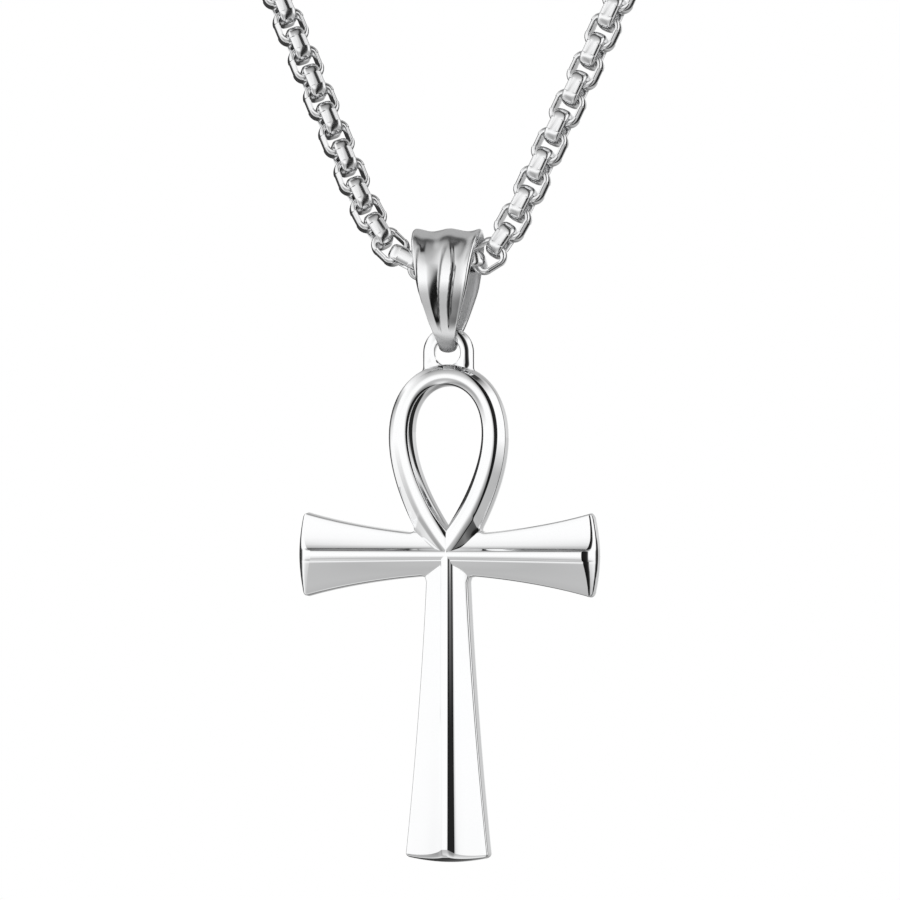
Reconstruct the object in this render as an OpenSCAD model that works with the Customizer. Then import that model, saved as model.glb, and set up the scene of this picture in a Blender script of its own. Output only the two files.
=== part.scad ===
// Ankh pendant on a fluted bail and a round box chain, as it hangs from a neck.
// Millimetres. The front faces -Y, +Z is up, and the origin is the middle of the neck
// opening at the height of the nape.

/* [Ankh] */
// Height from the ankh's foot to the top of its loop
ankh_h = 45.2; // [40:0.1:52]
// Distance across the two arms
arm_span = 27.6; // [22:0.1:34]
// Height of an arm where it leaves the crossing
arm_root_w = 3.6; // [3:0.1:4.4]
// Height of an arm at its outer end
arm_end_w = 7.5; // [6:0.1:9]
// Length of the stem below the crossing
stem_len = 27.9; // [24:0.1:34]
// Width of the stem where it leaves the crossing
stem_root_w = 3.7; // [3:0.1:4.4]
// Width of the stem at its foot
stem_end_w = 7.6; // [6:0.1:9]
// Thickness of the ankh at its side walls
wall_t = 1.6; // [1.2:0.05:2.2]
// Rise of the flanks from the side wall to the foot of the rib
flank_rise = 0.3; // [0.15:0.05:0.5]
// Height of the rib above the flanks
rib_h = 0.35; // [0.2:0.05:0.9]
// Half width of the rib at the crossing
rib_root = 0.5; // [0.35:0.05:0.8]
// Half width of the rib at the ends of the arms
rib_arm = 0.67; // [0.5:0.01:1]
// Half width of the rib at the foot of the stem
rib_foot = 0.95; // [0.6:0.05:1.3]
// How far the side walls spread from front to back
draft = 0.1; // [0:0.05:0.2]
// How far the domed ends stand out past the ends of the ribs
end_dome = 0.8; // [0.4:0.1:1.2]

/* [Loop] */
// Outer width of the teardrop loop
loop_w = 10.8; // [9:0.1:13]
// Width of the hole in the loop
loop_hole_w = 6.4; // [5.4:0.1:7.4]
// Width of the metal over the top of the hole
loop_top_w = 1.9; // [1.5:0.1:2.4]
// Height of the point of the hole above the crossing
hole_foot = 2.5; // [2:0.1:3.5]
// Height of the rounded front of the loop above its edges
loop_crown = 0.8; // [0.5:0.05:1.1]

/* [Eye] */
// Bore of the eye
eye_bore = 2.4; // [2.2:0.1:3]
// Width of the eye's metal round the bore
eye_wire = 1.15; // [0.9:0.05:1.5]
// Thickness of the eye from front to back
eye_t = 1.5; // [1.3:0.1:1.7]

/* [Bail] */
// Height of the bail
bail_h = 11.3; // [10:0.1:13]
// Depth of the bail from front to back
bail_depth = 6.9; // [6.2:0.1:8]
// Width of the bail at its top
bail_w = 6.4; // [5.6:0.1:7]
// Width of the bail's foot
foot_w = 1.3; // [1:0.1:1.5]
// Wall of the bail at its top
bail_wall = 0.9; // [0.7:0.05:1]
// Thickness of the foot that carries the eye
foot_t = 0.9; // [0.7:0.05:1]
// Depth of the flutes
flute_depth = 0.35; // [0.1:0.05:0.5]

/* [Chain] */
// Diameter of the round box chain
chain_d = 3; // [2.4:0.1:3.2]
// Gap between the top of the chain and the bail at rest
chain_gap = 0.2; // [0.15:0.05:0.5]

/* [Clasp] */
// Length of the clasp between the two ends of the chain
clasp_l = 12.6; // [11:0.2:16]
// Width of the clasp
clasp_w = 5; // [4:0.1:6]
// Thickness of the clasp
clasp_t = 2.8; // [2.4:0.1:3.4]

/* [Hidden] */
steel = [0.8, 0.8, 0.81];

// The chain's low point in the bail, from the middle of the neck opening.
hang = [0, -62, -160];

// Place of the clasp at the nape, from the chain's low point.
nape = [0, 117, 161];

// Route of the chain from its low point, as it lies: across to the right, back, up.
// It runs from the clasp down the left side, through the bail and up the right side.
ROUTE = [
    [-19, 115.3, 161], [-33, 109.5, 160], [-46, 99.5, 158], [-56, 86.5, 155],
    [-62, 71.5, 151], [-64.5, 56.5, 145], [-63.5, 42.5, 137], [-60, 29.5, 126], [-54, 19.5, 111],
    [-45.5, 14, 90], [-32.2, 9, 60], [-18.9, 4.5, 30], [-10, 1.5, 10], [-8.4, 0.9, 6.4],
    [-6.5, 0.4, 3.1], [-5, 0.1, 1.4], [-3.4, 0, 0.4], [-1.9, 0, 0], [-0.5, 0, -0.1],
    [0.9, 0, 0], [2.5, 0, 0.3], [3.9, 0.1, 1], [5.2, 0.4, 2.6], [7, 0.9, 6], [8.8, 1.5, 10],
    [17.7, 4.5, 30], [31, 9, 60], [44.4, 14, 90], [53.5, 19.5, 111], [60, 29.5, 126],
    [63.5, 42.5, 137], [64.5, 56.5, 145], [62, 71.5, 151], [56, 86.5, 155], [46, 99.5, 158],
    [33, 109.5, 160], [19, 115.3, 161]
];

// Width of the bail from its foot to its top.
// Columns: share of the height, share of the difference between top and foot
BAIL_TAPER = [
    [0, 0], [0.1, 0.02], [0.2, 0.25], [0.34, 0.43], [0.5, 0.64], [0.66, 0.75], [0.82, 0.86], [1, 1]
];

// Heights of the bail, from the chain's low point; the chain rises towards its rims.
chain_rise = 0.75;
bail_top = chain_rise + chain_d / 2 + chain_gap + bail_wall;
bail_mid = bail_top - bail_h / 2;
bail_in_top = bail_top - bail_wall;
bail_in_foot = bail_top - bail_h + foot_t;
bail_in_h = bail_in_top - bail_in_foot;
bail_in_mid = (bail_in_top + bail_in_foot) / 2;
side_wall = bail_wall * 0.95;
// How pointed the bail's foot is from the side, and the widest value of each outline's curve.
OUTER_POINT = 0.5;
OUTER_FULL = 0.862;
INNER_POINT = 0.2;
INNER_FULL = 0.936;

// Eye and ankh heights, from the chain's low point.
seat_gap = 0.13;
eye_lift = eye_bore / 2 - sqrt(pow(eye_bore / 2, 2) - pow(foot_w / 2, 2));
eye_z = bail_in_foot + seat_gap + eye_lift - eye_bore / 2;
sink = 0.1;
loop_top_z = eye_z - eye_bore / 2 + sink;
post_l = eye_bore / 2 + loop_top_w / 2;
loop_h = ankh_h - stem_len;
cross_z = loop_top_z - loop_h;

// Depths of the ankh, from the plane of its eye and the bail.
ankh_back = 1;
ankh_edge = ankh_back - wall_t;
rib_foot_y = ankh_edge - flank_rise;
edge_r = 0.14;

// How the limbs flare: 1 is a straight taper, more keeps them slender near the crossing.
STEM_FLARE = 1.35;
ARM_FLARE = 1.6;
// The widest value of the loop's curve.
DROP_FULL = 0.77;

// Straight blend between two values.
function mix(a, b, t) = a + (b - a) * t;

// Triangles that join the closed rings of a tube, and fan caps when it is open.
function ring_faces(rings, sides, closed) = concat(
    [for (i = [0 : rings - (closed ? 1 : 2)]) for (j = [0 : sides - 1])
        [i * sides + j, i * sides + (j + 1) % sides, ((i + 1) % rings) * sides + j]],
    [for (i = [0 : rings - (closed ? 1 : 2)]) for (j = [0 : sides - 1])
        [i * sides + (j + 1) % sides, ((i + 1) % rings) * sides + (j + 1) % sides,
         ((i + 1) % rings) * sides + j]],
    closed ? [] : [for (j = [1 : sides - 2]) [0, j + 1, j]],
    closed ? [] : [for (j = [1 : sides - 2]) [for (k = [0, j, j + 1]) (rings - 1) * sides + k]]
);

// Half width of a flaring limb at a share of its length.
function limb_half(root, end, share, flare) = mix(root, end, pow(share, flare)) / 2;

// Half of a limb's section, from its back to the top of its rib: [across, depth].
function limb_half_section(half, rib) = [
    [half + draft - edge_r, ankh_back],
    [half + draft, ankh_back - edge_r],
    [half, ankh_edge + edge_r],
    [half - edge_r, ankh_edge],
    [mix(half, rib, 0.35), ankh_edge - flank_rise * 0.25],
    [mix(half, rib, 0.7), ankh_edge - flank_rise * 0.6],
    [rib, rib_foot_y],
    [rib * 0.6, rib_foot_y - rib_h * 0.5],
    [rib * 0.2, rib_foot_y - rib_h * 0.95]
];

// Whole section of a limb, from one side round the front to the other.
function limb_section(half, rib) = let (side = limb_half_section(half, rib), n = len(side))
    concat(side, [[0, rib_foot_y - rib_h]], [for (i = [n - 1 : -1 : 0]) [-side[i][0], side[i][1]]]);

// Stations of a domed end.
// Columns: share of the dome's length, share of the half width, share of the depth lost
DOME = [[0, 1, 0], [0.45, 0.96, 0.12], [0.75, 0.85, 0.32], [0.93, 0.62, 0.55], [1, 0.3, 0.75]];
dome_y = ankh_edge + wall_t * 0.55;

// Section of the dome: the limb's section drawn in, with its front and back closing up.
function dome_section(section, d) = [for (p = section)
    [p[0] * d[1], mix(p[1], dome_y, p[1] > dome_y ? d[2] / 2 : d[2])]];

// Rings of a limb from the crossing to its domed end: [distance, section].
function limb_rings(root, end, length, flare, ribs, steps) = let (body = length - end_dome)
    concat(
        [for (i = [0 : steps - 1]) let (share = i / steps)
            [share * body, limb_section(limb_half(root, end, share, flare),
                mix(ribs[0], ribs[1], share))]],
        [for (d = DOME) [body + d[0] * end_dome, dome_section(limb_section(end / 2, ribs[1]), d)]]
    );

// A limb as a solid that runs down from the origin.
module limb(root, end, length, flare, ribs, steps) {
    rings = limb_rings(root, end, length, flare, ribs, steps);
    sides = len(rings[0][1]);
    polyhedron(
        points = [for (r = rings) for (p = r[1]) [-p[0], p[1], -r[0]]],
        faces = ring_faces(len(rings), sides, false)
    );
}

// Outline of the loop: place across and height at an angle from its lower point.
function drop_x(full, angle) = full / 2 / DROP_FULL * sin(angle) * sin(angle / 2);
function drop_z(low, high, angle) = (low + high) / 2 - (high - low) / 2 * cos(angle);

// Section of the loop from its outer edge to its hole.
// Columns: share of the way across, share of the wall's depth, share of the crown
LOOP_SECTION = [
    [-0.05, 1, 0], [-0.03, 0.06, 0], [0.03, 0, 0.12], [0.14, 0, 0.45], [0.3, 0, 0.8],
    [0.5, 0, 1], [0.68, 0, 0.9], [0.84, 0, 0.55], [0.95, 0, 0.15], [1.02, 0.08, 0], [1.05, 1, 0]
];

// The teardrop loop, a closed ring between its outer outline and its hole.
module teardrop_loop() {
    steps = 56;
    low = -hole_foot;
    points = [for (i = [0 : steps - 1]) let (a = i * 360 / steps,
            outer = [drop_x(loop_w, a), drop_z(low, loop_h, a)],
            inner = [drop_x(loop_hole_w, a), drop_z(hole_foot, loop_h - loop_top_w, a)])
        for (s = LOOP_SECTION) let (p = mix(outer, inner, s[0]))
            [p[0], ankh_edge + s[1] * wall_t - s[2] * loop_crown, p[1]]];
    polyhedron(points = points, faces = ring_faces(steps, len(LOOP_SECTION), true));
}

// Section of the eye's wire: a round-ended bar, eye_t from front to back.
module eye_section() {
    half = (eye_t - eye_wire) / 2;
    translate([0, half]) circle(d = eye_wire, $fn = 48);
    translate([0, -half]) circle(d = eye_wire, $fn = 48);
    square([eye_wire, 2 * half], center = true);
}

// The eye: a ring about Y with two posts that stand on the loop.
module eye() {
    mid_r = (eye_bore + eye_wire) / 2;
    rotate([90, 0, 0]) rotate_extrude($fn = 96) translate([mid_r, 0]) eye_section();
    for (side = [-1, 1]) {
        translate([side * mid_r, 0, -post_l]) linear_extrude(post_l) eye_section();
    }
}

module ankh() {
    color(steel) translate(hang) {
        translate([0, 0, cross_z]) {
            limb(stem_root_w, stem_end_w, stem_len, STEM_FLARE, [rib_root, rib_foot], 9);
            for (side = [-1, 1]) {
                rotate([0, side * 90, 0])
                    limb(arm_root_w, arm_end_w, arm_span / 2, ARM_FLARE, [rib_root, rib_arm], 7);
            }
            teardrop_loop();
        }
        translate([0, 0, eye_z]) eye();
    }
}

// Outer and inner outline of the bail from the side, at an angle from the foot: [depth, height].
function bail_outer(a) = [bail_depth / 2 / OUTER_FULL * sin(a) * pow(abs(sin(a / 2)), OUTER_POINT),
    bail_mid - bail_h / 2 * cos(a)];
function bail_inner(a) = [(bail_depth / 2 - side_wall) / INNER_FULL * sin(a)
    * pow(abs(sin(a / 2)), INNER_POINT), bail_in_mid - bail_in_h / 2 * cos(a)];

// Half width of the bail at a height above its foot.
function bail_half(z) = let (share = (z - bail_top + bail_h) / bail_h)
    mix(foot_w, bail_w, lookup(share, BAIL_TAPER)) / 2;

// Places across the bail, from its middle to its rim, and how far each is rounded off.
// Columns: share of the half width, share of the wall lost at the rim
RIM = [[0, 0], [0.12, 0], [0.24, 0], [0.36, 0], [0.48, 0], [0.6, 0], [0.72, 0], [0.84, 0],
    [0.93, 0.05], [0.98, 0.2], [1, 0.45]];

// Depth of the flutes at a place across: two valleys between three lobes.
function flute(s) = (1 - cos(360 * s)) / 2;

// One closed ring of the bail's wall at an angle from the foot.
function bail_ring(a) =
    let (o = bail_outer(a), i = bail_inner(a), half = bail_half(o[1]),
        wall = norm(o - i), out = (o - i) / wall,
        groove = flute_depth * half / (bail_w / 2), n = len(RIM))
    concat(
        [for (k = [-(n - 1) : n - 1]) let (row = RIM[abs(k)], s = sign(k) * row[0],
                p = o - out * (flute(s) * groove + row[1] * wall))
            [s * half, p[0], p[1]]],
        [for (s = [0.99, 0.9, 0.45, 0, -0.45, -0.9, -0.99])
            let (p = i + out * (abs(s) > 0.95 ? wall * 0.25 : 0))
            [s * half, p[0], p[1]]]
    );

module bail() {
    steps = 44;
    rings = [for (i = [0 : steps - 1]) bail_ring((i + 0.5) * 360 / steps)];
    sides = len(rings[0]);
    color(steel) translate(hang)
        polyhedron(points = [for (r = rings) each r], faces = ring_faces(steps, sides, true));
}

// The whole route, with its two ends straight out of the clasp.
lead = 2.7;
way = concat(
    [for (x = [clasp_l / 2, clasp_l / 2 + lead]) nape - [x, 0, 0]],
    ROUTE,
    [for (x = [clasp_l / 2 + lead, clasp_l / 2]) nape + [x, 0, 0]]
);

// Point of the way between two of its chosen points.
function way_point(i, t) = let (last = len(way) - 1, a = way[max(i - 1, 0)], b = way[i],
        c = way[i + 1], d = way[min(i + 2, last)])
    0.5 * (2 * b + (c - a) * t + (2 * a - 5 * b + 4 * c - d) * t * t
        + (3 * b - a - 3 * c + d) * t * t * t);

// Places where the tube has a ring, no further apart than about ring_step.
ring_step = 8.5;
tube_path = concat(
    [for (i = [0 : len(way) - 2]) let (k = max(1, round(norm(way[i + 1] - way[i]) / ring_step)))
        for (j = [0 : k - 1]) way_point(i, j / k)],
    [way[len(way) - 1]]
);

// Ring of the tube at a point of the path, square to the path there.
middle = [0, 40, 100];
function tube_ring(p, before, after, sides) =
    let (t = (after - before) / norm(after - before), across = cross(t, p - middle),
        b = across / norm(across), n = cross(b, t))
    [for (j = [0 : sides - 1]) let (a = (j + 0.5) * 360 / sides)
        p + chain_d / 2 * (cos(a) * n - sin(a) * b)];

module chain() {
    n = len(tube_path);
    sides = 8;
    rings = [for (i = [0 : n - 1])
        tube_ring(tube_path[i], tube_path[max(i - 1, 0)], tube_path[min(i + 1, n - 1)], sides)];
    color([0.74, 0.74, 0.76]) translate(hang)
        polyhedron(points = [for (r = rings) each r], faces = ring_faces(n, sides, false));
}

// The clasp: a flat claw body with a cap at each end for the chain.
module clasp() {
    clear = 0.1;
    cap_l = 2.4;
    inner = clasp_l - 2 * clear;
    body_l = inner - 2 * cap_l + 1;
    color(steel) translate(hang + nape) {
        for (side = [-1, 1]) {
            translate([side * (inner - cap_l) / 2, 0, 0]) rotate([0, 90, 0])
                cylinder(h = cap_l, d = chain_d, center = true, $fn = 48);
        }
        rotate([90, 0, 0]) translate([0, 0, -clasp_t / 2]) linear_extrude(clasp_t) {
            for (side = [-1, 1]) {
                translate([side * (body_l - clasp_w) / 2, 0]) circle(d = clasp_w, $fn = 64);
            }
            square([body_l - clasp_w, clasp_w], center = true);
        }
    }
}

chain();
clasp();
bail();
ankh();
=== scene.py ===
"""Looks of an ankh pendant on a fluted bail and a round box chain, as it hangs from a neck.

Forms are worked out in millimetres from the chain's low point, and each finished piece is
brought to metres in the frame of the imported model.
"""

import logging
import math
from dataclasses import dataclass, field
from enum import Enum
from typing import Callable, Sequence

import bpy
from mathutils import Matrix, Quaternion, Vector


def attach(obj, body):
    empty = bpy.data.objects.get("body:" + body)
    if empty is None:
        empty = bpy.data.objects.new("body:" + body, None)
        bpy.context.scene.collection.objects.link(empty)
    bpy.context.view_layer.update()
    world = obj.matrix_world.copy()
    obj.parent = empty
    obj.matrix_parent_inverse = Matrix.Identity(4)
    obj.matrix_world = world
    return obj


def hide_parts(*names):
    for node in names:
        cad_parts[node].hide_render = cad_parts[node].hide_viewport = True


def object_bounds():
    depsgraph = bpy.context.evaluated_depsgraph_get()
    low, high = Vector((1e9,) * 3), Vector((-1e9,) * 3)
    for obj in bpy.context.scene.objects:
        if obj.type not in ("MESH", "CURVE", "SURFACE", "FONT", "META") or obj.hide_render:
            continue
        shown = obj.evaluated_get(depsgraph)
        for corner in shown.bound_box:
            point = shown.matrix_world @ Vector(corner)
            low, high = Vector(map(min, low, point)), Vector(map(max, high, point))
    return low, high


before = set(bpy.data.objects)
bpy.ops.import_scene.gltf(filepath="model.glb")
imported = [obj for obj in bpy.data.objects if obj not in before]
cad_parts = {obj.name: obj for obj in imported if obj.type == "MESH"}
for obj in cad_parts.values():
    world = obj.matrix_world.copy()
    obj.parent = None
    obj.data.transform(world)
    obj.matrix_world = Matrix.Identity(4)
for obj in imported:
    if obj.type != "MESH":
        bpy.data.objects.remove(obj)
CAD_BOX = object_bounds()

LOG = logging.getLogger("ankh_pendant")
MM = 0.001
HANG = Vector((0.0, -62.0, -160.0))
MERGE_MM = 0.002
HALVINGS = 26

Point = Sequence[float]
Ring = list[Vector]


class Slot(Enum):
    """The record's material slots."""

    PENDANT = "pendant_steel"
    CHAIN = "chain_steel"
    CLASP = "clasp_steel"


class Body(Enum):
    """The bodies that pieces ride on."""

    NECKLACE = "necklace"
    BAIL = "bail"
    ANKH = "ankh"


def mix(a: float, b: float, t: float) -> float:
    """Returns the straight blend of a and b."""
    return a + (b - a) * t


def table_value(rows: Sequence[Sequence[float]], at: float, column: int = 1) -> float:
    """Reads a table whose first column rises.

    Args:
        rows: The table's rows.
        at: The place on its first column.
        column: The column to read.

    Returns:
        The value there, on a straight line between two rows.
    """
    if at <= rows[0][0]:
        return rows[0][column]
    for low, high in zip(rows, rows[1:]):
        if at <= high[0]:
            return mix(low[column], high[column], (at - low[0]) / (high[0] - low[0]))
    return rows[-1][column]


def ease(t: float) -> float:
    """Returns a smooth step from 0 to 1."""
    t = max(0.0, min(1.0, t))
    return t * t * (3 - 2 * t)


def zone(at: float, ends: Sequence[float]) -> float:
    """Returns a smooth step from 0 at the first end to 1 at the second one."""
    return ease((at - ends[0]) / (ends[1] - ends[0]))


def bulge(t: float) -> float:
    """Returns how far a quarter circle has fallen at t, from 0 to 1."""
    return 1 - math.sqrt(max(0.0, 1 - t * t))


class Bench:
    """The work on meshes: grids formed into shells, joins, creases and the move to metres."""

    @staticmethod
    def clear() -> None:
        """Deselects everything."""
        bpy.ops.object.select_all(action="DESELECT")

    @staticmethod
    def pick(*pieces: bpy.types.Object) -> None:
        """Selects only these pieces, and makes the first one active."""
        Bench.clear()
        for piece in pieces:
            piece.select_set(True)
        bpy.context.view_layer.objects.active = pieces[0]

    @staticmethod
    def form(name: str, rings: Sequence[Ring], capped: bool,
             layers: dict[str, Sequence[Sequence[float]]] | None = None) -> bpy.types.Object:
        """Forms a grid primitive into a tube through closed rings.

        Args:
            name: The piece's name.
            rings: Rings of equally many points, in order along the tube.
            capped: True closes the two ends with a face, False joins the last ring to the first.
            layers: Values for each ring's points, kept as attributes under their names.

        Returns:
            The closed shell, with its normals outwards.
        """
        rows = list(rings) if capped else [*rings, rings[0]]
        piece = Bench.sheet(name, [[*ring, ring[0]] for ring in rows])
        for label, values in (layers or {}).items():
            tones = list(values) if capped else [*values, values[0]]
            layer = piece.data.attributes.new(label, "FLOAT", "POINT")
            layer.data.foreach_set("value", [v for row in tones for v in [*row, row[0]]])
        bpy.ops.object.mode_set(mode="EDIT")
        bpy.ops.mesh.select_all(action="SELECT")
        bpy.ops.mesh.remove_doubles(threshold=MERGE_MM)
        if capped:
            bpy.ops.mesh.select_all(action="DESELECT")
            bpy.ops.mesh.select_mode(type="EDGE")
            bpy.ops.mesh.select_non_manifold()
            bpy.ops.mesh.fill_holes(sides=0)
        bpy.ops.mesh.select_all(action="SELECT")
        bpy.ops.mesh.normals_make_consistent(inside=False)
        bpy.ops.object.mode_set(mode="OBJECT")
        return piece

    @staticmethod
    def sheet(name: str, rows: Sequence[Ring]) -> bpy.types.Object:
        """Forms a grid primitive into an open sheet through rows of equally many points.

        Args:
            name: The sheet's name.
            rows: Its rows of points, in order.

        Returns:
            The sheet.
        """
        Bench.clear()
        bpy.ops.mesh.primitive_grid_add(
            x_subdivisions=len(rows[0]) - 1, y_subdivisions=len(rows) - 1, size=1
        )
        piece = bpy.context.object
        piece.name = name
        piece.data.name = name
        piece.data.vertices.foreach_set("co", [c for row in rows for p in row for c in p])
        return piece

    @staticmethod
    def weld(pieces: Sequence[bpy.types.Object]) -> bpy.types.Object:
        """Joins sheets into the first one along the edges that they share.

        Args:
            pieces: The sheets.

        Returns:
            The first one, which now holds them all.
        """
        Bench.pick(*pieces)
        bpy.ops.object.join()
        bpy.ops.object.mode_set(mode="EDIT")
        bpy.ops.mesh.select_all(action="SELECT")
        bpy.ops.mesh.remove_doubles(threshold=MERGE_MM)
        bpy.ops.object.mode_set(mode="OBJECT")
        return bpy.context.object

    @staticmethod
    def borders(piece: bpy.types.Object) -> list[list[Vector]]:
        """Follows the open edges of a sheet.

        Args:
            piece: The sheet.

        Returns:
            The loops' points, in order round each opening.
        """
        mesh = piece.data
        uses: dict[tuple[int, int], int] = {}
        for face in mesh.polygons:
            for key in face.edge_keys:
                uses[key] = uses.get(key, 0) + 1
        beside: dict[int, list[int]] = {}
        for (a, b), count in uses.items():
            if count == 1:
                beside.setdefault(a, []).append(b)
                beside.setdefault(b, []).append(a)
        loops = []
        while beside:
            start = at = next(iter(beside))
            before, loop = -1, []
            while True:
                loop.append(mesh.vertices[at].co.copy())
                ways = [v for v in beside.pop(at) if v != before]
                before, at = at, ways[0]
                if at == start or at not in beside:
                    break
            loops.append(loop)
        return loops

    @staticmethod
    def close(piece: bpy.types.Object) -> None:
        """Closes a shell's open back with flat faces, and turns its faces outwards.

        Args:
            piece: The shell.
        """
        Bench.pick(piece)
        bpy.ops.object.mode_set(mode="EDIT")
        bpy.ops.mesh.select_all(action="DESELECT")
        bpy.ops.mesh.select_mode(type="EDGE")
        bpy.ops.mesh.select_non_manifold(
            use_wire=False, use_boundary=True, use_multi_face=False, use_non_contiguous=False,
            use_verts=False,
        )
        bpy.ops.mesh.fill()
        bpy.ops.mesh.select_all(action="SELECT")
        bpy.ops.mesh.normals_make_consistent(inside=False)
        bpy.ops.object.mode_set(mode="OBJECT")

    @staticmethod
    def fuse(base: bpy.types.Object, others: Sequence[bpy.types.Object]) -> None:
        """Unites shells, whose faces then hold their shell's number as material index.

        Args:
            base: The first shell, which becomes the whole.
            others: The shells that it takes in.
        """
        for index, shell in enumerate([base, *others]):
            shell.data.polygons.foreach_set("material_index", [index] * len(shell.data.polygons))
        for other in others:
            union = base.modifiers.new("union", "BOOLEAN")
            union.operation = "UNION"
            union.solver = "EXACT"
            union.object = other
            Bench.pick(base)
            bpy.ops.object.modifier_apply(modifier=union.name)
            bpy.data.objects.remove(other)

    @staticmethod
    def crease(piece: bpy.types.Object, angle_deg: float) -> None:
        """Shades a piece smooth, but for its sharp edges and the seams of its shells.

        Args:
            piece: The piece, whose faces hold their shell's number as material index.
            angle_deg: The angle from which an edge is sharp.
        """
        Bench.pick(piece)
        bpy.ops.object.shade_smooth_by_angle(angle=math.radians(angle_deg))
        mesh = piece.data
        shells: dict[tuple[int, int], set[int]] = {}
        for face in mesh.polygons:
            for key in face.edge_keys:
                shells.setdefault(key, set()).add(face.material_index)
        for edge in mesh.edges:
            if len(shells.get(tuple(sorted(edge.vertices)), ())) > 1:
                edge.use_edge_sharp = True
        mesh.polygons.foreach_set("material_index", [0] * len(mesh.polygons))

    @staticmethod
    def seat(piece: bpy.types.Object, origin: Vector) -> None:
        """Brings a piece from millimetres about origin to metres in the row frame."""
        piece.data.transform(Matrix.Scale(MM, 4) @ Matrix.Translation(origin))
        piece.data.update()

    @staticmethod
    def finish(
        piece: bpy.types.Object, material: bpy.types.Material, slot: Slot, body: Body
    ) -> None:
        """Gives a piece its finish and the body that it rides on.

        Args:
            piece: The piece.
            material: Its finish.
            slot: Not used.
            body: The body that it rides on.
        """
        piece.data.materials.clear()
        piece.data.materials.append(material)
        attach(piece, body.value)
        faces = sum(len(face.vertices) - 2 for face in piece.data.polygons)
        LOG.info("piece %s rides on %s, %d triangles", piece.name, body.value, faces)


@dataclass
class Wiring:
    """The nodes of a shader tree by name, and the links between them."""

    tree: bpy.types.NodeTree
    nodes: dict[str, bpy.types.Node] = field(default_factory=dict)

    def add(self, name: str, kind: str, constants: dict[str, object] | None = None,
            **settings: object) -> None:
        """Adds a node.

        Args:
            name: Its name here.
            kind: Blender's name of its type.
            constants: Values of its inputs.
            settings: Values of its own settings.
        """
        made = self.tree.nodes.new(kind)
        for label, value in settings.items():
            setattr(made, label, value)
        for label, value in (constants or {}).items():
            made.inputs[label].default_value = value
        self.nodes[name] = made

    def sum(self, name: str, operation: str, *terms: float | None) -> None:
        """Adds a math node.

        Args:
            name: Its name here.
            operation: What it works out.
            terms: Its inputs' constants, with None where a link comes in.
        """
        self.add(name, "ShaderNodeMath", operation=operation)
        for socket, value in zip(self.nodes[name].inputs, terms):
            if value is not None:
                socket.default_value = value

    def span(self, name: str, low: float, high: float) -> None:
        """Adds a node that runs from 0 to 1 while its value runs from low to high."""
        self.add(name, "ShaderNodeMapRange", {"From Min": low, "From Max": high})

    def ramp(self, name: str, rows: Sequence[Sequence[float]], low: float, high: float) -> None:
        """Adds a curve node from a table.

        Args:
            name: Its name here.
            rows: The table's rows, place and value.
            low: The place where the curve begins.
            high: The place where it ends.
        """
        self.add(name, "ShaderNodeFloatCurve")
        mapping = self.nodes[name].mapping
        curve = mapping.curves[0]
        places = [((at - low) / (high - low), value) for at, value in rows]
        curve.points[0].location = places[0]
        curve.points[1].location = places[-1]
        for place in places[1:-1]:
            curve.points.new(*place)
        for point in curve.points:
            point.handle_type = "VECTOR"
        mapping.update()

    def join(self, *ways: str) -> None:
        """Links sockets.

        Args:
            ways: The links, each as node.socket > node.socket, by name or number.
        """
        for way in ways:
            source, goal = (end.split(".") for end in way.split(" > "))
            ends = []
            for (name, socket), side in ((source, "outputs"), (goal, "inputs")):
                sockets = getattr(self.nodes[name], side)
                ends.append(sockets[int(socket) if socket.isdigit() else socket])
            self.tree.links.new(*ends)


def polish_marks_group() -> bpy.types.ShaderNodeTree:
    """Builds the marks that a polishing wheel and wear leave on steel.

    Returns:
        A group with the inputs Scale, Base, Spread, Haze and Grain and the outputs Roughness,
        Tone and Height.
    """
    tree = bpy.data.node_groups.new("polish_marks", "ShaderNodeTree")
    face = tree.interface
    defaults = {"Scale": 400.0, "Base": 0.05, "Spread": 0.05, "Haze": 0.02, "Grain": 0.3}
    for name, value in defaults.items():
        socket = face.new_socket(name=name, in_out="INPUT", socket_type="NodeSocketFloat")
        socket.default_value = value
    for name in ("Roughness", "Tone", "Height"):
        face.new_socket(name=name, in_out="OUTPUT", socket_type="NodeSocketFloat")
    wiring = Wiring(tree)
    wiring.add("given", "NodeGroupInput")
    wiring.add("made", "NodeGroupOutput")
    wiring.add("place", "ShaderNodeTexCoord")
    wiring.add("cloud", "ShaderNodeTexNoise", {"Detail": 3.0})
    wiring.add("fine", "ShaderNodeTexNoise", {"Detail": 2.0})
    wiring.sum("finer", "MULTIPLY", None, 14.0)
    wiring.sum("rough", "MULTIPLY_ADD")
    wiring.sum("haze", "MULTIPLY")
    wiring.sum("tone", "SUBTRACT", 1.0)
    wiring.sum("height", "MULTIPLY")
    wiring.join(
        "place.Object > cloud.Vector", "place.Object > fine.Vector", "given.Scale > cloud.Scale",
        "given.Scale > finer.0", "finer.0 > fine.Scale", "cloud.Fac > rough.0",
        "given.Spread > rough.1", "given.Base > rough.2", "cloud.Fac > haze.0",
        "given.Haze > haze.1", "haze.0 > tone.1", "fine.Fac > height.0", "given.Grain > height.1",
        "rough.0 > made.Roughness", "tone.0 > made.Tone", "height.0 > made.Height",
    )
    return tree


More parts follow.
